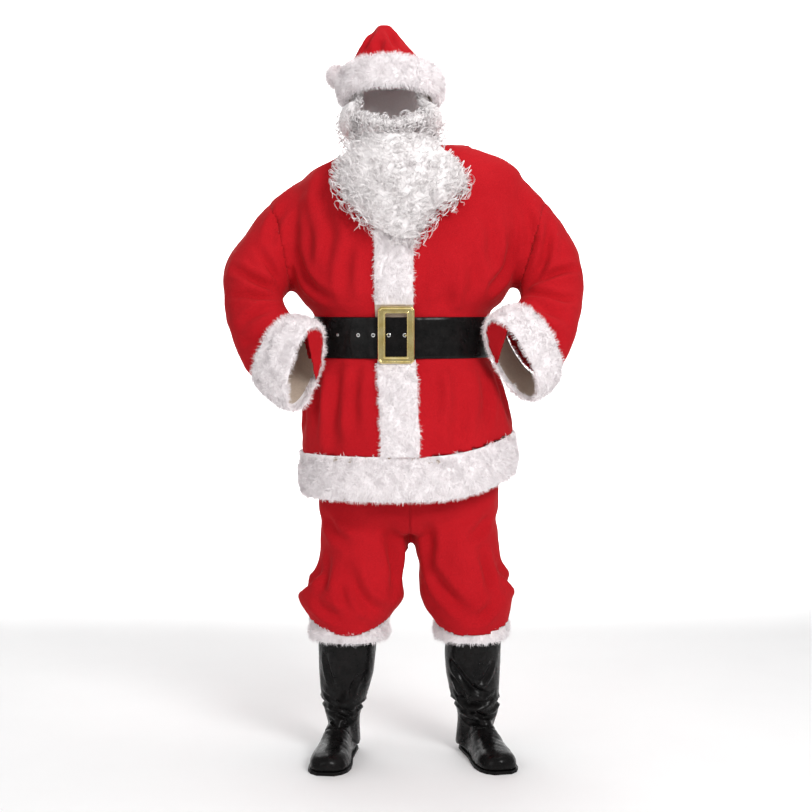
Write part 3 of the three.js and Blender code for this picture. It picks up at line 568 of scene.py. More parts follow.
def new_object(name, points, faces, material=None, smooth=True):
    mesh = bpy.data.meshes.new(name)
    mesh.from_pydata(to_frame(points).tolist(), [], faces)
    mesh.polygons.foreach_set("use_smooth", [smooth] * len(mesh.polygons))
    obj = bpy.data.objects.new(name, mesh)
    bpy.context.scene.collection.objects.link(obj)
    if material:
        mesh.materials.append(material)
    return obj


def blades_object(name, points, faces, material):
    """A big mesh of triangles, made quickly."""
    mesh = bpy.data.meshes.new(name)
    count = len(faces)
    mesh.vertices.add(len(points))
    mesh.vertices.foreach_set("co", to_frame(points).astype(np.float32).ravel())
    mesh.loops.add(count * 3)
    mesh.loops.foreach_set("vertex_index", np.asarray(faces, np.int32).ravel())
    mesh.polygons.add(count)
    mesh.polygons.foreach_set("loop_start", np.arange(0, count * 3, 3, dtype=np.int32))
    mesh.polygons.foreach_set("use_smooth", [True] * count)
    mesh.update(calc_edges=True)
    mesh.materials.append(material)
    obj = bpy.data.objects.new(name, mesh)
    bpy.context.scene.collection.objects.link(obj)
    return obj


def baked(obj):
    """The object's mesh with its modifiers applied, as a new mesh; the object is removed."""
    graph = bpy.context.evaluated_depsgraph_get()
    mesh = bpy.data.meshes.new_from_object(obj.evaluated_get(graph))
    bpy.data.objects.remove(obj)
    return mesh


def remeshed(forms, voxel):
    """Closed forms joined into one even skin: its points in millimetres and its faces."""
    points, faces = [], []
    for form_points, form_faces in forms:
        start = sum(len(p) for p in points)
        points.append(form_points)
        faces += [[k + start for k in f] for f in form_faces]
    obj = new_object("form", np.vstack(points), faces)
    modifier = obj.modifiers.new("skin", "REMESH")
    modifier.mode = "VOXEL"
    modifier.voxel_size = voxel * 0.001
    mesh = baked(obj)
    skin = np.empty(len(mesh.vertices) * 3)
    mesh.vertices.foreach_get("co", skin)
    quads = [list(p.vertices) for p in mesh.polygons]
    bpy.data.meshes.remove(mesh)
    return skin.reshape(-1, 3) * 1000 + [0, 0, HOLD_HEIGHT], quads


def relaxed(points, faces, rounds, weight=None):
    """Points drawn towards their neighbours' middle, more where weight is larger."""
    f = np.array(faces)
    edges = np.vstack([f[:, [0, 1]], f[:, [1, 2]], f[:, [2, 3]], f[:, [3, 0]]])
    a = np.concatenate([edges[:, 0], edges[:, 1]])
    b = np.concatenate([edges[:, 1], edges[:, 0]])
    degree = np.bincount(a, minlength=len(points))[:, None]
    pull = 0.5 if weight is None else 0.5 * weight[:, None]
    for _ in range(rounds):
        total = np.stack([np.bincount(a, points[b, k], len(points)) for k in range(3)], -1)
        points = points + (total / degree - points) * pull
    return points


def skin_normals(points, faces):
    f = np.array(faces)
    n = np.cross(points[f[:, 2]] - points[f[:, 0]], points[f[:, 3]] - points[f[:, 1]])
    out = np.zeros_like(points)
    for k in range(4):
        for axis in range(3):
            out[:, axis] += np.bincount(f[:, k], n[:, axis], len(points))
    return unit(out)


def surface_tree(points, faces):
    return BVHTree.FromPolygons(points.tolist(), [list(f) for f in faces])


LOOKS = {
    "front": lambda a, z: ((a, -900, z), (0, 1, 0)),
    "back": lambda a, z: ((a, 900, z), (0, -1, 0)),
    "left": lambda a, z: ((900, a, z), (-1, 0, 0)),
    "right": lambda a, z: ((-900, a, z), (1, 0, 0)),
}


def course_on(tree, seen_from, course, count=14):
    """A fold's course laid on the surface, as seen from one side."""
    c = np.array(course, float)
    s = np.arange(len(c), dtype=float)
    at = np.linspace(0, s[-1], count)
    a, z = smooth_between(s, c[:, 0], at), smooth_between(s, c[:, 1], at)
    hits = []
    for k in range(count):
        start, way = LOOKS[seen_from](a[k], z[k])
        hit = tree.ray_cast(Vector(start), Vector(way))[0]
        if hit is not None:
            hits.append(list(hit))
    return np.array(hits)


def folded(points, tree, folds):
    """How far each point moves out for the folds: a trough between two low ridges."""
    move = np.zeros(len(points))
    for depth, width, seen_from, course in folds:
        line = course_on(tree, seen_from, course)
        if len(line) < 3:
            continue
        low, high = line.min(0) - 4 * width, line.max(0) + 4 * width
        near = np.where(((points > low) & (points < high)).all(-1))[0]
        p = points[near]
        best = np.full(len(p), 1e9)
        share = np.zeros(len(p))
        for k in range(len(line) - 1):
            a, d = line[k], line[k + 1] - line[k]
            t = np.clip(((p - a) @ d) / max(d @ d, 1e-9), 0, 1)
            far = np.linalg.norm(p - a - t[:, None] * d, axis=-1)
            closer = far < best
            best = np.where(closer, far, best)
            share = np.where(closer, (k + t) / (len(line) - 1), share)
        fade = np.sin(np.pi * np.clip(share * 0.94 + 0.03, 0, 1)) ** 0.8
        u = best / width
        shape = -np.exp(-(u**2)) + 0.55 * np.exp(-((u - 1.75) ** 2) / 0.5)
        move[near] += FOLD_GAIN * depth * fade * shape
    return move


def thickened(obj, thick):
    """Cloth thickness, grown inwards from the outer face."""
    modifier = obj.modifiers.new("cloth", "SOLIDIFY")
    modifier.thickness = thick * 0.001
    modifier.offset = -1
    modifier.use_rim = True
    return obj


def cut_pieces(points, faces, names, piece_of, material, thick):
    """Splits a skin into its cut pieces by a label for each face."""
    made = {}
    f = np.array(faces)
    for label, name in enumerate(names):
        chosen = f[piece_of == label]
        used, index = np.unique(chosen, return_inverse=True)
        obj = new_object(name, points[used], index.reshape(-1, 4).tolist(), material)
        made[name] = thickened(obj, thick)
    return made


# ---------- materials ----------
def link(tree, a, b):
    tree.links.new(a, b)


def new_node(tree, kind, **values):
    """A shader node with its named input values set."""
    node = tree.nodes.new(kind)
    for name, value in values.items():
        node.inputs[name.replace("_", " ")].default_value = value
    return node


def noise(tree, place, scale, detail=3, distortion=0):
    node = new_node(tree, "ShaderNodeTexNoise", Scale=scale, Detail=detail, Distortion=distortion)
    link(tree, place, node.inputs["Vector"])
    return node.outputs["Fac"]


def ramp(tree, value, stops):
    node = tree.nodes.new("ShaderNodeValToRGB")
    elements = node.color_ramp.elements
    while len(elements) < len(stops):
        elements.new(0.5)
    for element, (at, colour) in zip(elements, stops):
        element.position = at
        element.color = (*colour, 1)
    link(tree, value, node.inputs["Fac"])
    return node.outputs["Color"]


def mixed(tree, value, a, b):
    """Two colour outputs mixed by a value."""
    node = tree.nodes.new("ShaderNodeMix")
    node.data_type = "RGBA"
    link(tree, value, node.inputs[0])
    link(tree, a, node.inputs[6])
    link(tree, b, node.inputs[7])
    return node.outputs[2]


def bumps(tree, layers):
    """Bump nodes chained from (value, strength, distance) layers."""
    normal = None
    for value, strength, distance in layers:
        node = new_node(tree, "ShaderNodeBump", Strength=strength, Distance=distance)
        link(tree, value, node.inputs["Height"])
        if normal:
            link(tree, normal, node.inputs["Normal"])
        normal = node.outputs["Normal"]
    return normal


def surface(name, **sockets):
    """A new material: its tree, its shader and the object coordinates, in metres."""
    material = bpy.data.materials.new(name)
    material.use_nodes = True
    tree = material.node_tree
    shader = tree.nodes["Principled BSDF"]
    for socket, value in sockets.items():
        shader.inputs[socket.replace("_", " ")].default_value = value
    place = tree.nodes.new("ShaderNodeTexCoord").outputs["Object"]
    return material, tree, shader, place


def fleece():
    made, tree, shader, place = surface(
        "red_fleece", Roughness=0.95, Sheen_Weight=0.12, Sheen_Roughness=0.4,
        Sheen_Tint=(1, 0.25, 0.22, 1), Specular_IOR_Level=0.1,
    )
    broad = noise(tree, place, 7)
    nap = noise(tree, place, 420, 4)
    calm = ramp(tree, broad, [(0.3, (0.43, 0.006, 0.011)), (0.7, (0.52, 0.010, 0.016))])
    rough = ramp(tree, nap, [(0.3, (0.33, 0.004, 0.009)), (0.75, (0.59, 0.016, 0.024))])
    share = ramp(tree, noise(tree, place, 60), [(0.35, (0.3, 0.3, 0.3)), (0.7, (0.6, 0.6, 0.6))])
    link(tree, mixed(tree, share, calm, rough), shader.inputs["Base Color"])
    normal = bumps(tree, [(nap, 0.35, 0.0012), (noise(tree, place, 90, 2), 0.25, 0.002)])
    link(tree, normal, shader.inputs["Normal"])
    return made


def pile(name, dark, light, sheen, scale=160):
    """Fur and hair: the shade changes from tuft to tuft."""
    made, tree, shader, place = surface(
        name, Roughness=0.85, Sheen_Weight=sheen, Sheen_Roughness=0.5, Specular_IOR_Level=0.2,
    )
    fine = noise(tree, place, scale, 4)
    broad = noise(tree, place, 22, 2)
    a = ramp(tree, fine, [(0.28, dark), (0.62, light)])
    b = ramp(tree, broad, [(0.3, tuple(c * 0.93 for c in light)), (0.6, light)])
    share = ramp(tree, noise(tree, place, 50), [(0.3, (0.35, 0.35, 0.35)), (0.7, (0.7, 0.7, 0.7))])
    link(tree, mixed(tree, share, a, b), shader.inputs["Base Color"])
    link(tree, bumps(tree, [(fine, 0.3, 0.002)]), shader.inputs["Normal"])
    return made


def vinyl(name, roughness, coat):
    made, tree, shader, place = surface(
        name, Coat_Weight=coat, Coat_Roughness=0.12, Specular_IOR_Level=0.10,
    )
    grain = noise(tree, place, 900, 2)
    wave = noise(tree, place, 38, 2, 0.4)
    tint = ramp(tree, wave, [(0.3, (0.003, 0.003, 0.003)), (0.7, (0.009, 0.008, 0.008))])
    link(tree, tint, shader.inputs["Base Color"])
    low, high = roughness
    shine = ramp(tree, noise(tree, place, 60), [(0.3, (low,) * 3), (0.7, (high,) * 3)])
    link(tree, shine, shader.inputs["Roughness"])
    link(tree, bumps(tree, [(grain, 0.12, 0.0004), (wave, 0.2, 0.003)]), shader.inputs["Normal"])
    return made


def metal(name, dark, light, low, high):
    made, tree, shader, place = surface(name, Metallic=1.0)
    broad = noise(tree, place, 40, 3)
    link(tree, ramp(tree, broad, [(0.3, dark), (0.7, light)]), shader.inputs["Base Color"])
    shine = ramp(tree, noise(tree, place, 300), [(0.3, (low,) * 3), (0.7, (high,) * 3)])
    link(tree, shine, shader.inputs["Roughness"])
    link(tree, bumps(tree, [(noise(tree, place, 120, 1), 0.04, 0.0003)]), shader.inputs["Normal"])
    return made


def paper(name, dark, light, roughness):
    made, tree, shader, place = surface(name, Roughness=roughness, Specular_IOR_Level=0.2)
    link(tree, ramp(tree, noise(tree, place, 3), [(0.3, dark), (0.7, light)]),
         shader.inputs["Base Color"])
    return made


FLEECE = fleece()
FUR = pile("white_fur", (0.90, 0.84, 0.85), (0.98, 0.94, 0.95), 0.2)
BACKING = pile("fur_backing", (0.46, 0.36, 0.28), (0.62, 0.51, 0.41), 0.1, 300)
CURLS = pile("white_curls", (0.87, 0.83, 0.83), (0.98, 0.95, 0.95), 0.15, 220)
VINYL = vinyl("black_vinyl", (0.22, 0.34), 0.06)
RUBBER = vinyl("black_rubber", (0.42, 0.55), 0.0)
GOLD = metal("gold", (0.80, 0.62, 0.22), (0.94, 0.79, 0.38), 0.12, 0.20)
STEEL = metal("steel", (0.55, 0.55, 0.54), (0.74, 0.74, 0.73), 0.20, 0.32)
FLOOR = paper("floor", (0.93, 0.93, 0.93), (0.95, 0.95, 0.95), 0.7)


def placed(obj, slot, *nodes):
    """The piece rides on the frame and stands for its CAD nodes; its slot is not used."""
    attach(obj, "root")
    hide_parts(*nodes)
    return obj


# ---------- cloth ----------
def spread_down(rings, by):
    """One more ring beyond the first, straight on from it, so that a form can be cut clean."""
    way = unit(rings[0].mean(0) - rings[1].mean(0))
    return np.concatenate([(rings[0] + way * by)[None], rings])


def on_seams(points, faces, labels, planes, reach):
    """Points on the border of two cut pieces are set on the seam's plane."""
    f = np.array(faces)
    low = np.full(len(points), 99)
    high = np.full(len(points), -1)
    for k in range(4):
        np.minimum.at(low, f[:, k], labels)
        np.maximum.at(high, f[:, k], labels)
    border = low != high
    for place, way in planes:
        away = (points - place) @ way
        near = border & (np.abs(away) < reach)
        points[near] -= away[near, None] * way
    return points


def groove(points, planes, depth, width):
    """How far points near a seam's plane sink in."""
    sink = np.zeros(len(points))
    for place, way in planes:
        sink = np.maximum(sink, depth * np.exp(-(((points - place) @ way / width) ** 2)))
    return sink


def arm_plane(side, row):
    """The plane of one of an arm's rings, facing along the arm."""
    rows = ARMS[side]
    far = np.array([rows[k][row] for k in ("far_x", "far_y", "far_z")])
    near = np.array([rows[k][row] for k in ("near_x", "near_y", "near_z")])
    rings = arm_rings(rows, 16)
    u = unit(far - near)
    along = rings[row + 1].mean(0) - rings[row - 1].mean(0)
    return (far + near) / 2, unit(along - u * (along @ u))


def jacket():
    torso = level_rings(finer(TORSO, 80, "z half front"), 128)
    top = torso[-1] + [0, 0, 26]
    forms = [tube(np.concatenate([torso, top[None]]))]
    arms = {}
    for side, rows in ARMS.items():
        track = "far_x far_y far_z near_x near_z"
        arms[side] = tube(arm_rings(finer(rows, 70, track), 64))
        forms.append(arms[side])
    points, faces = remeshed(forms, CLOTH_SKIN["voxel"])
    points = relaxed(points, faces, 5)
    trees = {"torso": surface_tree(*forms[0])}
    for side, form in arms.items():
        trees[side] = surface_tree(*form)

    middle = points[np.array(faces)].mean(1)
    x, y, z = middle.T
    row = {name: column[2] for name, column in TORSO.items()}
    share = np.clip((x - row["x"]) / row["half"], -1, 1) ** 2
    hem = row["z"] + np.where(x > row["x"], row["rise_l"], row["rise_r"]) * share
    label = np.where(y > SIDE_SEAM_Y, 2, np.where(x > JACKET_MIDDLE, 0, 1))
    body = np.where((z < hem) | (z > NECK), -1, label)
    labels = body.copy()
    for number, side in ((3, "left"), (4, "right")):
        start, way = arm_plane(side, 1)
        end, end_way = arm_plane(side, SLEEVE_ROWS - 1)
        outside = np.abs(x) > SLEEVE_X
        beyond = ((middle - start) @ way > 0) & (outside | (y < FOREARM_Y)) & (z > SLEEVE_LOWEST)
        candidates = np.where(beyond & ((x > 0) == (side == "left")))[0]
        for k in candidates:
            p = Vector(middle[k])
            from_arm = trees[side].find_nearest(p)[3]
            if from_arm < trees["torso"].find_nearest(p)[3]:
                past = (middle[k] - end) @ end_way > 0
                labels[k] = -1 if past else number
    planes = [
        (np.array([0, SIDE_SEAM_Y, 0]), np.array([0, 1.0, 0])),
        (np.array([JACKET_MIDDLE, 0, 0]), np.array([1.0, 0, 0])),
        (np.array([0, 0, NECK]), np.array([0, 0, 1.0])),
        arm_plane("left", 1),
        arm_plane("right", 1),
        arm_plane("left", SLEEVE_ROWS - 1),
        arm_plane("right", SLEEVE_ROWS - 1),
    ]
    points = on_seams(points, faces, labels, planes, CLOTH_SKIN["reach"])
    normals = skin_normals(points, faces)
    move = folded(points, surface_tree(points, faces), JACKET_FOLDS)
    move += 2.2 * ripple(points, 170, 3) + 0.9 * ripple(points, 60, 4)
    calm = (points[:, 2] > BELT_LOW - 6) & (points[:, 2] < BELT_HIGH + 6)
    trunk = np.abs(points[:, 0] - BELTED_MIDDLE) < BELTED_HALF
    move = np.where(calm & trunk, np.clip(move, -2, 0), move)
    shoulder = [arm_plane("left", 1), arm_plane("right", 1)]
    high = points[:, 2] > SHOULDER_SEAM_LOWEST
    move -= np.where(high, groove(points, shoulder, 2.4, 6), 0)
    points = relaxed(points + normals * move[:, None], faces, 1)
    names = ["jacket_front_left", "jacket_front_right", "jacket_back", "sleeve_left",
             "sleeve_right"]
    return cut_pieces(points, faces, names, labels, FLEECE, CLOTH)


def trousers():
    hips = level_rings(finer(HIPS, 44, "z half front"), 96)
    forms = [tube(np.concatenate([hips, (hips[-1] + [0, 0, 20])[None]]))]
    for rows in LEGS.values():
        legs = leg_rings(finer(rows, 40, "z x half"), 72)
        forms.append(tube(spread_down(legs, 22)))
    points, faces = remeshed(forms, CLOTH_SKIN["voxel"])
    points = relaxed(points, faces, 5)
    middle = points[np.array(faces)].mean(1)
    x, y, z = middle.T
    labels = np.where(x > TROUSER_MIDDLE, 0, 1) + np.where(y > SIDE_SEAM_Y, 2, 0)
    for rows in LEGS.values():
        r = {name: column[0] for name, column in rows.items()}
        mine = (x > TROUSER_MIDDLE) == (r["x"] > TROUSER_MIDDLE)
        share = np.clip((y - r["y"]) / r["front"], -1, 1) ** 2
        hem = r["z"] - np.where(y < r["y"], r["droop"], 0) * share
        labels = np.where(mine & (z < hem), -1, labels)
    labels = np.where(z > TROUSER_TOP, -1, labels)
    planes = [
        (np.array([0, SIDE_SEAM_Y, 0]), np.array([0, 1.0, 0])),
        (np.array([TROUSER_MIDDLE, 0, 0]), np.array([1.0, 0, 0])),
        (np.array([0, 0, TROUSER_TOP]), np.array([0, 0, 1.0])),
    ]
    points = on_seams(points, faces, labels, planes, CLOTH_SKIN["reach"])
    normals = skin_normals(points, faces)
    move = folded(points, surface_tree(points, faces), TROUSER_FOLDS)
    move += 2.2 * ripple(points, 130, 5) + 0.8 * ripple(points, 50, 6)
    move *= np.clip((1000 - points[:, 2]) / 200, 0.2, 1)
    points = relaxed(points + normals * move[:, None], faces, 1)
    names = ["trouser_front_left", "trouser_front_right", "trouser_back_left",
             "trouser_back_right"]
    return cut_pieces(points, faces, names, labels, FLEECE, CLOTH)


def waistband():
    row = {name: column[-1:] for name, column in HIPS.items()}
    heights = np.linspace(1016, 1051, 8)
    ring = level_rings(row, 256)[0]
    out = unit(ring - ring.mean(0))
    gather = 1.1 * np.sin(np.arange(256) * 2 * np.pi / 256 * 64) + 0.5 * ripple(ring, 40, 7)
    rings = np.stack([ring - out * (CLOTH / 2 - gather[:, None] * 0.6) for _ in heights])
    rings[..., 2] = heights[:, None]
    obj = new_object("waistband_cloth", rings.reshape(-1, 3), grid_faces(8, 256), FLEECE)
    return thickened(obj, CLOTH)


def hat_crown():
    forms = [
        tube(spread_down(leaning_rings(finer(CROWN, 40, "z half"), 64), 14)),
        tube(leaning_rings(finer(TAIL, 34, "x y z"), 40)),
    ]
    points, faces = remeshed(forms, HAT_SKIN["voxel"])
    points = relaxed(points, faces, 4)
    middle = points[np.array(faces)].mean(1)
    place, way = np.array([HEAD[0], HEAD[1], BRIM_Z]), unit(np.array([0, BRIM_LEAN, 0.97]))
    labels = np.where((middle - place) @ way < 0, -1, 0)
    points = on_seams(points, faces, labels, [(place, way)], HAT_SKIN["reach"])
    normals = skin_normals(points, faces)
    move = folded(points, surface_tree(points, faces), HAT_FOLDS)
    move += 1.3 * ripple(points, 60, 8) + 0.5 * ripple(points, 26, 9)
    points = relaxed(points + normals * move[:, None], faces, 1)
    return cut_pieces(points, faces, ["hat_crown"], labels, FLEECE, CLOTH)["hat_crown"]


# ---------- fur ----------
def scattered(points, faces, every, keep=None):
    """Random places on a surface, one for each stated area, and the way it faces there."""
    f = np.array([q for q in faces if len(q) == 4])
    normals = skin_normals(points, f)
    a, b, c, d = (points[f[:, k]] for k in range(4))
    area = np.linalg.norm(np.cross(c - a, d - b), axis=-1) / 2
    if keep is not None:
        area = np.where(keep((a + b + c + d) / 4, unit(normals[f].sum(1))), area, 0)
    count = int(area.sum() / every)
    pick = HAIR.choice(len(f), count, p=area / area.sum())
    u, v = HAIR.random((2, count, 1))
    corners = f[pick]
    weights = [(1 - u) * (1 - v), u * (1 - v), u * v, (1 - u) * v]
    place = sum(points[corners[:, k]] * w for k, w in enumerate(weights))
    way = unit(sum(normals[corners[:, k]] * w for k, w in enumerate(weights)))
    return place, way


def fur_blades(place, way, length, width, comb):
    """Tapered strands that share their lean with their neighbours, so that they form tufts."""
    count = len(place)
    lean = np.stack([ripple(place, 44, seed) for seed in (21, 22, 23)], -1) * 0.4
    fine = np.stack([ripple(place, 12, seed) for seed in (24, 25, 26)], -1) * 0.22
    flow = lean + fine + comb * 0.4 + HAIR.normal(0, 0.24, (count, 3))
    flow -= way * (flow * way).sum(-1, keepdims=True)
    first = unit(way + flow * 0.8)
    long_ = length * HAIR.uniform(0.65, 1.15, (count, 1))
    # a strand's face is turned to the outside, so that the pile takes the light evenly
    side = unit(np.cross(way, first) + HAIR.normal(0, 0.12, (count, 3))) * width / 2
    mid = place + first * long_ * 0.5
    tip = mid + unit(way * 0.55 + flow * 1.2) * long_ * 0.62
    points = np.stack([place + side, place - side, mid - side * 0.75, mid + side * 0.75, tip], 1)
    start = np.arange(count)[:, None] * 5
    shape = np.array([[0, 1, 2], [0, 2, 3], [3, 2, 4]])
    return points.reshape(-1, 3), (start[:, :, None] + shape[None]).reshape(-1, 3)


def furry(node, points, faces, every=5.8, length=PILE, width=1.3, comb=(0, 0, -1), keep=None):
    """A fur trim: a lumpy padded base and the strands that stand on it."""
    normals = skin_normals(points, [q for q in faces if len(q) == 4])
    lumps = 1.6 * ripple(points, 46, 31) + 0.8 * ripple(points, 19, 32)
    if keep is not None:
        lumps = np.where(keep(points, normals), lumps, 0)
    points = points + normals * lumps[:, None]
    base = placed(new_object(node + "_base", points, faces, FUR), "white_fur", node)
    if keep is not None:
        base.data.materials.append(BACKING)
        lined = ~keep(points, normals)
        for face in base.data.polygons:
            face.material_index = int(lined[list(face.vertices)].all())
    place, way = scattered(points, faces, every, keep)
    blades = fur_blades(place, way, length, width, np.array(comb, float))
    strands = blades_object(node + "_pile", *blades, FUR)
    placed(strands, "white_fur", node)
    return base


def outward_from(middle):
    """Keeps only the side of a trim that faces away from a middle line or point."""

    def test(points, normals):
        away = points - np.asarray(middle(points))
        away[:, 2] *= 0.2
        return (unit(away) * normals).sum(-1) > -0.35

    return test


def offset_rings(rings, distance):
    """Rings moved out along their own normals; distance is one value for each ring."""
    return rings + ring_normals(rings) * np.reshape(distance, (-1, 1, 1))


def band(outer, inner):
    """A closed band from its outer rings and its inner ones, both from bottom to top."""
    rings = np.concatenate([outer, inner[::-1]])
    return tube(rings, looped=True)


def fur_hem():
    rows = {name: column[:3] for name, column in TORSO.items()}
    cloth = level_rings(finer(rows, 16, "z"), 260)
    s = np.linspace(0, 1, 16)
    reach = FUR_REACH * (0.65 + 0.35 * np.sin(np.pi * np.clip(s * 1.15, 0, 1)) - 0.1 * s)
    outer = offset_rings(cloth, reach - PILE * 0.85)
    outer[0, :, 2] += 4
    points, faces = band(outer, offset_rings(cloth[[0, -1]], [CLEAR, CLEAR]))
    keep = outward_from(lambda p: np.stack([p[:, 0] * 0 + 5, p[:, 1] * 0 + 10, p[:, 2]], -1))
    return furry("fur_hem", points, faces, keep=keep)


def fur_cuff(side):
    track = "far_x far_y far_z near_x near_y near_z"
    start = SLEEVE_ROWS - 1
    rows = {name: column[start:] for name, column in ARMS[side].items()}
    arm = arm_rings(finer(ARMS[side], 110, track), 120)
    place, way = arm_plane(side, start)
    arm = arm[((arm.mean(1) - place) @ way) > 1]
    count = len(arm)
    s = np.linspace(0, 1, count)
    reach = FUR_REACH * (0.45 + 0.5 * np.sin(np.pi * np.clip(s * 0.9 + 0.12, 0, 1)))
    outer = offset_rings(arm, reach - PILE * 0.8)
    inner = offset_rings(arm, np.full(count, -CLOTH))
    points, faces = band(outer, inner)
    near = np.array([rows["near_x"], rows["near_y"], rows["near_z"]])
    far = np.array([rows["far_x"], rows["far_y"], rows["far_z"]])
    centre = ((near + far) / 2).mean(1)
    mouth = (near[:, -1] + far[:, -1]) / 2
    out_of_mouth = arm_plane(side, SLEEVE_ROWS)[1]

    def keep(p, n):
        away = p - centre
        away -= (away @ way)[:, None] * way
        rim = (p - mouth) @ out_of_mouth > -13
        return ((unit(away) * n).sum(-1) > -0.2) | rim

    return furry(f"fur_cuff_{side}", points, faces, keep=keep, comb=tuple(way * 0.8))


def front_y(row, x):
    share = np.abs((x - row["x"]) / row["half"]) ** row["power"]
    return -row["front"] * (1 - share) ** (1 / row["power"])


def placket_x(z):
    return -30 + np.maximum(0, 1183 - z) * 0.046


def fur_placket():
    rows = {name: column[2:12] for name, column in TORSO.items()}
    fine = finer(rows, 120, "z")
    across = np.sin(np.linspace(-np.pi / 2, np.pi / 2, 26))
    pressed_low, pressed_high = BELT_LOW - 8, BUCKLE["high"] + 8
    outer, inner = [], []
    for k in range(120):
        row = {name: column[k] for name, column in fine.items()}
        z = row["z"]
        ease = np.clip((z - pressed_low) / 14, 0, 1) * np.clip((pressed_high - z) / 10, 0, 1)
        reach = (FUR_REACH * 0.8 - PILE * 0.75) * (1 - ease) + (PLACKET_PRESSED - 3) * ease
        x = placket_x(z) + across * (PLACKET_HALF - 6)
        back = front_y(row, x) - CLEAR
        front = back - reach * np.sqrt(np.clip(1 - np.abs(across) ** 4, 0, 1)) - 0.4
        outer.append(np.stack([x, front, np.full(26, z)], -1))
        inner.append(np.stack([x, back, np.full(26, z)], -1))
    rings = np.concatenate([np.array(inner), np.array(outer)[:, ::-1]], 1)
    points, faces = tube(rings)

    def keep(p, n):
        free = (p[:, 2] < pressed_low) | (p[:, 2] > pressed_high)
        return free & ((n[:, 1] < 0.1) | (np.abs(p[:, 0] - placket_x(p[:, 2])) > PLACKET_HALF - 9))

    return furry("fur_placket", points, faces, keep=keep, length=PILE * 0.9)


def fur_leg(side):
    row = {name: column[:1] for name, column in LEGS[side].items()}
    row["droop"] = np.zeros(1)
    ring = leg_rings(row, 150)[0]
    n = unit(ring - ring.mean(0))
    # how far each ring of the section stands off the leg, and its height
    section = [(-7, 326), (-7, 318), (-3, 330), (-4, 345), (-7, 362), (-9, 380), (-13, 384)]
    rings = []
    for off, z in section:
        moved = ring + n * off
        moved[:, 2] = z
        rings.append(moved)
    inside = ring - n * 17
    top, bottom = inside.copy(), inside.copy()
    top[:, 2], bottom[:, 2] = 382, 324
    outer = np.array(rings[1:])
    at = np.linspace(0, len(outer) - 1, 22)
    steps = np.arange(len(outer), dtype=float)
    fine = np.stack([[smooth_between(steps, outer[:, j, k], at) for k in range(3)]
                     for j in range(150)]).transpose(2, 0, 1)
    points, faces = band(fine, np.array([bottom, top]))
    x, y = ring.mean(0)[:2]
    outer_side = outward_from(
        lambda p: np.stack([p[:, 0] * 0 + x, p[:, 1] * 0 + y, p[:, 2]], -1)
    )
    cloth = {name: column[0] for name, column in LEGS[side].items()}

    def keep(p, n):
        share = np.clip((p[:, 1] - cloth["y"]) / cloth["front"], -1, 1) ** 2
        hem = cloth["z"] - np.where(p[:, 1] < cloth["y"], cloth["droop"], 0) * share
        return outer_side(p, n) & (p[:, 2] < hem - 1)

    return furry(f"fur_leg_{side}", points, faces, keep=keep)


def hat_brim():
    way = unit(np.array([0, BRIM_LEAN, 0.97]))
    deep = unit(np.array([0, 1.0, 0]) - way * way[1])
    out_, up = BRIM_SECTION["out"], BRIM_SECTION["up"]
    closed = np.arange(len(out_) + 1, dtype=float)
    at = np.linspace(0, len(out_), 30, endpoint=False)
    outs = smooth_between(closed, np.append(out_, out_[0]), at)
    ups = smooth_between(closed, np.append(up, up[0]), at)
    outs = np.maximum(outs * 0.76, 0)
    ups = ups * 0.86
    angle = turn(150)
    c, s = np.cos(angle)[:, None], np.sin(angle)[:, None]
    foot = np.array([HEAD[0], HEAD[1], BRIM_Z]) + np.array([1.0, 0, 0]) * 105 * c
    foot = foot + deep * np.where(s < 0, 100, 104) * s
    away = np.array([1.0, 0, 0]) * c + deep * s
    rings = foot[:, None] + away[:, None] * outs[None, :, None] + way * ups[None, :, None]
    points, faces = tube(rings.transpose(1, 0, 2), looped=True)

    def keep(p, n):
        rel = p - np.array([HEAD[0], HEAD[1], BRIM_Z])
        rel -= (rel @ way)[:, None] * way
        return (unit(rel) * n).sum(-1) > -0.3

    return furry("hat_brim", points, faces, keep=keep, comb=(0, 0, -0.7), length=PILE * 1.1)


def hat_pompom():
    centre, r = np.array(POMPOM["centre"], float), POMPOM["radius"] - PILE * 0.8
    tilt = np.linspace(0.06, np.pi - 0.06, 24)
    angle = turn(40)
    rings = np.stack([
        centre + r * np.stack([np.sin(t) * np.cos(angle), np.sin(t) * np.sin(angle),
                               np.full(40, np.cos(t))], -1)
        for t in tilt
    ])
    points, faces = tube(rings)
    return furry("hat_pompom", points, faces, every=4.0, length=PILE * 1.15, comb=(0, 0, -0.3))


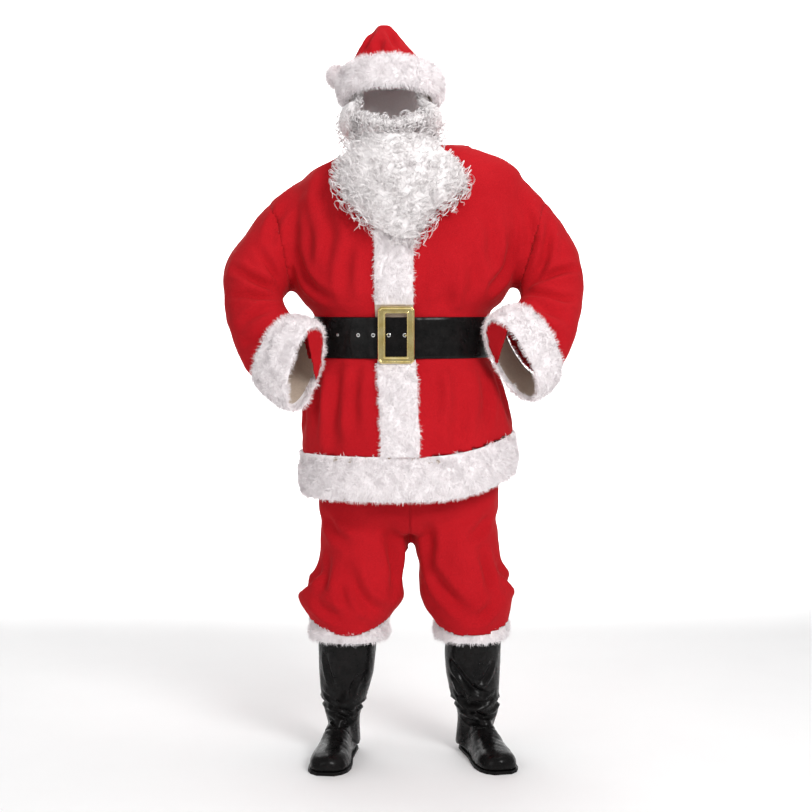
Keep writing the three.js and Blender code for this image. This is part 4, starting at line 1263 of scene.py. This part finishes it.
# ---------- curled hair ----------
def curl_ribbons(root, along, out, length, radius, turns, strands=8, width=0.85, samples=18):
    """Curled locks: each is a few flat ribbons that wind round one drooping line."""
    count = len(root)
    out = unit(out - along * (out * along).sum(-1, keepdims=True))
    side = np.cross(along, out)
    t = np.linspace(0, 1, samples)[None, None, :, None]

    def each(values):
        return np.reshape(values, (count, 1, 1, -1))

    swing = HAIR.uniform(0, 2 * np.pi, (count, strands, 1, 1))
    own = HAIR.uniform(0.8, 1.2, (count, strands, 1, 1))
    phase = HAIR.uniform(0, 2 * np.pi, (count, 1, 1, 1)) + swing * 0.09
    angle = 2 * np.pi * each(turns) * t * HAIR.choice([-1, 1], (count, 1, 1, 1)) + phase
    swell = (0.3 + 0.7 * np.sin(np.pi * np.clip(t * 0.75 + 0.12, 0, 1))) * (1 - 0.35 * t**3)
    droop = np.array([0, 0, -1.0]) * each(length) * 0.25 * t**2
    line = each(root) + each(along) * each(length) * t + droop
    line = line + each(out) * each(radius) * 0.8 * np.sin(np.pi * t)
    off = each(out) * np.cos(angle) + each(side) * np.sin(angle)
    p = line + off * each(radius) * own * swell
    wide = unit(each(along) + 0.35 * each(side) * np.cos(angle)) * width / 2
    wide = wide * (0.45 + 0.55 * np.sin(np.pi * np.clip(t + 0.08, 0, 1))) * own
    points = np.stack([p - wide, p + wide], 3)
    ribbons = count * strands
    start = np.arange(ribbons)[:, None] * samples * 2
    k = np.arange(samples - 1)[None] * 2
    a = start + k
    tris = np.stack([a, a + 1, a + 3, a, a + 3, a + 2], -1).reshape(-1, 3)
    return points.reshape(-1, 3), tris


def random_each(count, low, high):
    """One random value for each lock."""
    return HAIR.uniform(low, high, count)


def beard_point(rows, k, angle, less=0.0):
    """A point on the beard's front, by row and by the angle across it."""
    u = np.sin(angle)
    half, back, front = rows["half"][k] - less, rows["back"][k], rows["front"][k] + less
    y = back + (front - back) * np.cos(angle) + rows["sweep"][k] * u * u
    return np.stack([rows["x"][k] + half * u, y, rows["z"][k] + 0 * u], -1)


def beard():
    rows = finer(BEARD, 70, "z half")
    angles = np.linspace(-np.pi / 2, np.pi / 2, 40)
    rings = []
    for k in range(70):
        front = beard_point(rows, k, angles, BEARD_DEPTH)
        u = np.sin(angles[::-1])
        back_y = rows["back"][k] + rows["sweep"][k] * u * u
        x = rows["x"][k] + (rows["half"][k] - BEARD_DEPTH) * u
        back = np.stack([x, np.maximum(back_y, front[::-1, 1] + 1), front[::-1, 2]], -1)
        rings.append(np.concatenate([front, back[1:-1]]))
    points, faces = tube(np.array(rings))
    lumps = 2.0 * ripple(points, 26, 41)
    normals = skin_normals(points, [q for q in faces if len(q) == 4])
    points = points + normals * lumps[:, None]
    base = placed(new_object("beard_base", points, faces, CURLS), "white_curls", "beard")
    roots, outs, alongs = [], [], []
    for z in np.arange(HIGHEST_CURLS, LOWEST_CURLS, -CURL_ROW):
        k = int(np.argmin(np.abs(rows["z"] - z)))
        above = max(0, z - BEARD_TOP)
        count = max(3, int(rows["half"][k] * 2.4 / 13))
        spread = np.linspace(-1.5, 1.5, count) + HAIR.normal(0, 0.07, count)
        for angle in spread:
            here = beard_point(rows, k, np.array([angle]), BEARD_DEPTH - 1)[0]
            step = beard_point(rows, k, np.array([angle + 0.02]), BEARD_DEPTH)[0] - here
            out = unit(np.array([step[1], -step[0], 0]))
            out = out if out[1] < 0.4 else -out
            here = here + [0, above * 0.5, above]
            sideways = np.sin(angle) * 0.35 + HAIR.normal(0, 0.3)
            forward = out * HAIR.uniform(0.1, 0.6) + [0, -HAIR.uniform(0, 1.5), 0]
            roots.append(here + [0, 0, HAIR.normal(0, 4)])
            outs.append(out)
            alongs.append(forward + [sideways, 0, -0.9])
    roots, outs, alongs = np.array(roots), np.array(outs), unit(np.array(alongs))
    n = len(roots)
    ribbons = curl_ribbons(roots, alongs, outs, random_each(n, 22, 42), random_each(n, 7.5, 13),
                           random_each(n, 1.2, 2.2))
    placed(blades_object("beard_curls", *ribbons, CURLS), "white_curls", "beard")


def moustache():
    rows = finer(MOUSTACHE, 40, "x y z")
    centre = np.stack([rows["x"], rows["y"], rows["z"]], -1)
    way = unit(np.gradient(centre, axis=0))
    up = unit(np.array([0, 0, 1.0]) - way * way[:, 2:3])
    out = np.cross(way, up)
    r = np.maximum(rows["radius"] - 8, 2)[:, None]
    points, faces = tube(oval_rings(centre, out * r * 0.8, up * r, 24))
    base = new_object("moustache_base", points, faces, CURLS)
    placed(base, "white_curls", "moustache")
    n = 190
    pick = HAIR.integers(1, 39, n)
    side = np.where(centre[pick, 0] < -33, -1.0, 1.0)
    turn_ = HAIR.uniform(-1.9, 1.9, n)[:, None]
    outs = -out[pick] * np.cos(turn_) + up[pick] * np.sin(turn_)
    outs = np.where((outs[:, 1:2] > 0.2), -outs, outs)
    alongs = unit(way[pick] * side[:, None] * 0.6 + np.array([0, -0.1, -0.4]) + outs * 0.8)
    roots = centre[pick] + outs * r[pick] * 0.9
    ribbons = curl_ribbons(roots, alongs, outs, random_each(n, 12, 22), random_each(n, 4.5, 7.5),
                           random_each(n, 1.0, 1.8), strands=7, samples=16)
    placed(blades_object("moustache_curls", *ribbons, CURLS), "white_curls", "moustache")


def wig_point(rows, k, angle, less=0.0, inner=False):
    side = rows["inner" if inner else "outer"][k] - less
    back = rows["inner_back" if inner else "outer_back"][k] - less
    reach = np.where(np.sin(angle) > 0, back, side)
    y = reach * np.sin(angle)
    z = rows["z"][k] - BRIM_LEAN * y
    return np.stack([HEAD[0] + side * np.cos(angle), HEAD[1] + y, z], -1)


def wig():
    rows = finer(WIG, 26, "z outer")
    angles = np.linspace(-np.pi / 2 + WIG_OPEN, 3 * np.pi / 2 - WIG_OPEN, 90)
    rings = []
    for k in range(26):
        less = 5.0 if rows["z"][k] < 1660 else 1.0
        outer = wig_point(rows, k, angles, less)
        inner = wig_point(rows, k, angles, 0.0, True)[::-1]
        rings.append(np.concatenate([outer, inner]))
    rings = np.array(rings)
    count, sides = rings.shape[:2]
    faces = grid_faces(count, sides)
    half = sides // 2
    for j in range(half - 1):
        far = sides - 1 - j
        faces.append([j + 1, j, far, far - 1])
        top = (count - 1) * sides
        faces.append([top + j, top + j + 1, top + far - 1, top + far])
    points = rings.reshape(-1, 3)
    faces = outward(points, faces)
    base = new_object("wig_base", points, faces, CURLS)
    placed(base, "white_curls", "wig")
    roots, outs, alongs = [], [], []
    for z in np.arange(1698, 1590, -12):
        k = int(np.argmin(np.abs(rows["z"] - z)))
        for angle in np.linspace(angles[0] - 0.04, angles[-1] + 0.04, 32):
            a = np.array([angle + HAIR.normal(0, 0.05)])
            here = wig_point(rows, k, a, 4.0)[0]
            out = np.array([np.cos(a[0]), np.sin(a[0]), 0.0])
            roots.append(here + [0, 0, HAIR.normal(0, 4)])
            outs.append(out)
            alongs.append([out[0] * 0.12 + HAIR.normal(0, 0.2), HAIR.normal(0, 0.2), -1.0])
    # the two front edges, beside the face
    for z in np.arange(1704, 1596, -9):
        k = int(np.argmin(np.abs(rows["z"] - z)))
        for end in (0, -1):
            a = angles[[end]]
            inside, outside = wig_point(rows, k, a, 0.0, True)[0], wig_point(rows, k, a, 3.0)[0]
            for share in (0.15, 0.55, 0.95):
                roots.append(inside + (outside - inside) * share)
                outs.append(np.array([np.cos(a[0]) * 0.3, -1.0, 0]))
                alongs.append([np.cos(a[0]) * 0.3 + HAIR.normal(0, 0.2), -0.45, -1.0])
    roots, outs, alongs = np.array(roots), np.array(outs), unit(np.array(alongs))
    n = len(roots)
    ribbons = curl_ribbons(roots, alongs, outs, random_each(n, 24, 42), random_each(n, 5, 8.5),
                           random_each(n, 0.9, 1.9), strands=6, samples=16)
    placed(blades_object("wig_curls", *ribbons, CURLS), "white_curls", "wig")


# ---------- belt ----------
BELT_ROW = {name: column[5] for name, column in TORSO.items()}


def belt_bump(x, y):
    """The belt rides over the pressed fur at the front."""
    away = (np.abs(x - placket_x(1090)) - PLACKET_HALF) / 26
    t = np.clip(1 - away, 0, 1)
    return np.where(y > 0, 0, (PLACKET_PRESSED + 0.8) * t * t * (3 - 2 * t))


def belt_ring(z, off, sides=240):
    row = {name: np.array([value]) for name, value in BELT_ROW.items()}
    ring = level_rings(row, sides)[0]
    round_ = np.roll(ring, -1, 0) - np.roll(ring, 1, 0)
    n = unit(np.cross(round_, [0, 0, 1.0]))
    ring = ring + n * (CLEAR + off + belt_bump(ring[:, 0], ring[:, 1]))[:, None]
    ring[:, 2] = z
    return ring


def belt_strap():
    heights = np.linspace(BELT_LOW + 1.2, BELT_HIGH - 1.2, 14)
    t = BELT_THICK
    rings = [belt_ring(BELT_LOW, 0), belt_ring(BELT_LOW, t - 1.0)]
    for z in heights:
        ring = belt_ring(z, t)
        n = unit(ring - ring.mean(0))
        rings.append(ring + n * 0.35 * ripple(ring, 120, 51)[:, None])
    rings += [belt_ring(BELT_HIGH, t - 1.0), belt_ring(BELT_HIGH, 0)]
    obj = new_object("belt_band", *tube(np.array(rings), looped=True), VINYL)
    return placed(obj, "black_vinyl", "belt_strap")


def belt_tip():
    """The free end, with its bowed edge."""
    ups = np.linspace(-1, 1, 22)
    shares = np.linspace(0, 1, 60)
    grid = []
    for share in shares:
        end = TIP_TO + 9 * np.abs(ups) ** 2.4
        x = TIP_FROM + (end - TIP_FROM) * share
        y = front_y(BELT_ROW, x) - CLEAR - 2 * BELT_THICK + 0.5 - SEAM
        y = y - belt_bump(x, -1.0)
        z = (BELT_LOW + BELT_HIGH) / 2 + ups * (BELT_HIGH - BELT_LOW - 2) / 2
        grid.append(np.stack([x, y, z], -1))
    points = np.array(grid).reshape(-1, 3)
    points[:, 1] -= 0.3 * ripple(points, 60, 52)
    faces = [[i * 22 + j, i * 22 + j + 1, (i + 1) * 22 + j + 1, (i + 1) * 22 + j]
             for i in range(59) for j in range(21)]
    obj = new_object("belt_free_end", points, faces, VINYL)
    if np.cross(points[1] - points[0], points[22] - points[0])[1] > 0:
        obj.data.flip_normals()
    thickened(obj, BELT_THICK - 0.6)
    bevel = obj.modifiers.new("edge", "BEVEL")
    bevel.width, bevel.segments, bevel.limit_method = 0.0006, 2, "ANGLE"
    return placed(obj, "black_vinyl", "belt_tip")


def plate_ring(half, low, high, cut, y):
    x = BUCKLE["x"]
    corners = [(-half + cut, low), (half - cut, low), (half, low + cut), (half, high - cut),
               (half - cut, high), (-half + cut, high), (-half, high - cut), (-half, low + cut)]
    return np.array([[x + a, y, z] for a, z in corners])


def buckle():
    b = BUCKLE
    face = front_y(BELT_ROW, b["x"]) - CLEAR - PLACKET_PRESSED - 2 * BELT_THICK - 3.2

    def ring(inset, depth, cut):
        """A ring of the frame, from the outer edge inwards."""
        return plate_ring(b["half"] - inset, b["low"] + inset, b["high"] - inset, cut, face - depth)

    wall = b["half"] - b["window"]
    bar = b["bar"]

    def inner(back, depth):
        low, high = b["low"] + bar - back, b["high"] - bar + back
        return plate_ring(b["half"] - wall + back, low, high, 1.0, face - depth)

    rings = [ring(0, 0, 7), ring(0, 4.0, 7), ring(1.6, 5.8, 6.4), ring(4.2, 5.8, 5.4),
             ring(5.6, 4.6, 4.8), inner(4.4, 4.6), inner(3.2, 5.6), inner(1.2, 5.6),
             inner(0, 4.2), inner(0, 0)]
    obj = new_object("buckle_frame", *tube(np.array(rings), looped=True), GOLD, smooth=False)
    bevel = obj.modifiers.new("edge", "BEVEL")
    bevel.width, bevel.segments, bevel.limit_method = 0.0005, 2, "ANGLE"
    bevel.angle_limit = math.radians(20)
    return placed(obj, "gold", "belt_buckle")


# ---------- boots ----------
def foot_rings(side):
    heel, toe = (np.array(FEET[side][k], float) for k in ("heel", "toe"))
    way = unit(toe - heel)
    across = np.array([-way[1], way[0]])
    rows = finer(FOOT, 60, "along high")
    c, s = np.cos(turn(48)), np.sin(turn(48))
    floor = SOLE_THICK + SEAM
    rings = []
    for k in range(60):
        middle = heel + way * rows["along"][k]
        rim = middle + across * (rows["half"][k] * squared(c, 2.5))[:, None]
        z = floor + np.where(s > 0, rows["high"][k] * squared(np.maximum(s, 0), 2.5), 0)
        rings.append(np.column_stack([rim, z]))
    return np.array(rings)


def boot(side):
    heel, toe = (np.array(FEET[side][k], float) for k in ("heel", "toe"))
    shaft = finer(SHAFTS[side], 50, "z half")
    centre = np.stack([shaft["x"], shaft["y"], shaft["z"]], -1)
    wide = np.array([1.0, 0, 0]) * shaft["half"][:, None]
    deep = np.array([0, 1.0, 0]) * shaft["deep"][:, None]
    leg = oval_rings(centre, wide, deep, 64)
    leg = np.concatenate([leg, (leg[-1] + [0, 0, 12])[None]])
    points, faces = remeshed([tube(leg), tube(foot_rings(side))], BOOT_SKIN["voxel"])
    weight = np.clip((points[:, 2] - SOLE_THICK - 4) / 8, 0, 1)
    points = relaxed(points, faces, 6, weight)
    way = np.append(unit(toe - heel), 0)
    place = np.append(heel + unit(toe - heel) * 112, 70)
    seam = unit(way * 0.6 - np.array([0, 0, 0.8]))
    middle = points[np.array(faces)].mean(1)
    labels = np.where((middle - place) @ seam > 0, 1, 0)
    labels = np.where(middle[:, 2] > VAMP_TOP, 0, labels)
    labels = np.where(middle[:, 2] > BOOT_TOP, -1, labels)
    points = on_seams(points, faces, labels, [(place, seam)], BOOT_SKIN["reach"])
    normals = skin_normals(points, faces)
    move = BOOT_CRUMPLE * folded(points, surface_tree(points, faces), BOOT_FOLDS[side])
    move += 0.7 * ripple(points, 60, 61) + 0.35 * ripple(points, 24, 62)
    move -= groove(points, [(place, seam)], 1.4, 2.6) * (points[:, 2] < VAMP_TOP)
    front = centre[:, 0].mean()
    centre_seam = np.exp(-(((points[:, 0] - front) / 2.6) ** 2)) * (points[:, 1] < 0)
    move -= 1.0 * centre_seam * (points[:, 2] > 120)
    move *= np.clip((points[:, 2] - SOLE_THICK - 2) / 12, 0, 1)
    points = relaxed(points + normals * move[:, None], faces, 1, weight)
    names = [f"boot_shaft_{side}", f"boot_vamp_{side}"]
    return cut_pieces(points, faces, names, labels, VINYL, CLOTH)


# ---------- the stage ----------
def stage():
    floor_z = -HOLD_HEIGHT * 0.001
    profile = [(-9, 0), (4.0, 0), (5.6, 0.15), (6.8, 0.8), (7.4, 1.9), (7.6, 3.4), (7.6, 9)]
    points, faces = [], []
    for y, z in profile:
        points += [(-12, y, floor_z + z), (12, y, floor_z + z)]
    for k in range(len(profile) - 1):
        faces.append([2 * k, 2 * k + 1, 2 * k + 3, 2 * k + 2])
    mesh = bpy.data.meshes.new("floor")
    mesh.from_pydata(points, [], faces)
    mesh.polygons.foreach_set("use_smooth", [True] * len(faces))
    mesh.materials.append(FLOOR)
    floor = bpy.data.objects.new("floor", mesh)
    bpy.context.scene.collection.objects.link(floor)
    smooth = floor.modifiers.new("sweep", "SUBSURF")
    smooth.levels = smooth.render_levels = 3


def lamp(name, energy, size, place, target):
    light = bpy.data.lights.new(name, "AREA")
    light.energy = energy
    light.shape = "SQUARE"
    light.size = size
    obj = bpy.data.objects.new(name, light)
    obj.location = place
    way = Vector(target) - Vector(place)
    obj.rotation_euler = way.to_track_quat("-Z", "Y").to_euler()
    bpy.context.scene.collection.objects.link(obj)


def lights():
    """Each lamp has its watts, side, place and target, in metres."""
    lamp("key", 102, 1.3, (1.7, -3.3, 1.3), (0, 0, -0.5))
    lamp("fill", 17, 2.0, (-2.4, -3.0, 0.4), (0, 0, -0.6))
    lamp("top", 25, 1.6, (0.2, 0.2, 2.2), (0, 0, -0.4))
    lamp("back", 28, 2.0, (-1.6, 3.0, 1.2), (0, 0, -0.5))
    lamp("backdrop", 420, 4.0, (0, 3.6, 2.6), (0, 7.6, 0.6))
    world = bpy.data.worlds.new("studio")
    world.use_nodes = True
    background = world.node_tree.nodes["Background"]
    background.inputs["Color"].default_value = (1, 1, 1, 1)
    background.inputs["Strength"].default_value = 0.39
    bpy.context.scene.world = world


def camera():
    """It stands in front at chest height and looks a little down, in metres and degrees."""
    lens = bpy.data.cameras.new("camera")
    lens.lens = 74.75
    lens.sensor_width = 36
    obj = bpy.data.objects.new("camera", lens)
    obj.location = (0, -4.3, -0.33)
    obj.rotation_euler = (math.radians(90 - 3.42), 0, 0)
    bpy.context.scene.collection.objects.link(obj)
    bpy.context.scene.camera = obj


def cloth_piece(obj, node):
    obj.name = node + "_cloth"
    placed(obj, "red_fleece", node)


def suit():
    for node, obj in [*jacket().items(), *trousers().items(), ("hat_crown", hat_crown())]:
        cloth_piece(obj, node)
    band_ = placed(waistband(), "red_fleece", "waistband")
    fur_hem()
    fur_placket()
    for side in ("left", "right"):
        fur_cuff(side)
        fur_leg(side)
        for node, obj in boot(side).items():
            obj.name = node + "_vinyl"
            placed(obj, "black_vinyl", node)
    hat_brim()
    hat_pompom()
    beard()
    moustache()
    wig()
    belt_strap()
    belt_tip()
    buckle()
    kept = {"buckle_prong": GOLD, "belt_rivet": STEEL, "boot_sole_left": RUBBER,
            "boot_sole_right": RUBBER}
    kept.update({f"belt_eyelet_{k}": STEEL for k in range(1, 5)})
    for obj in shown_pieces():
        node = obj.get("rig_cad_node")
        if node in kept:
            obj.data.materials.clear()
            obj.data.materials.append(kept[node])


suit()
stage()
lights()
camera()
bpy.context.scene.view_settings.view_transform = "Standard"
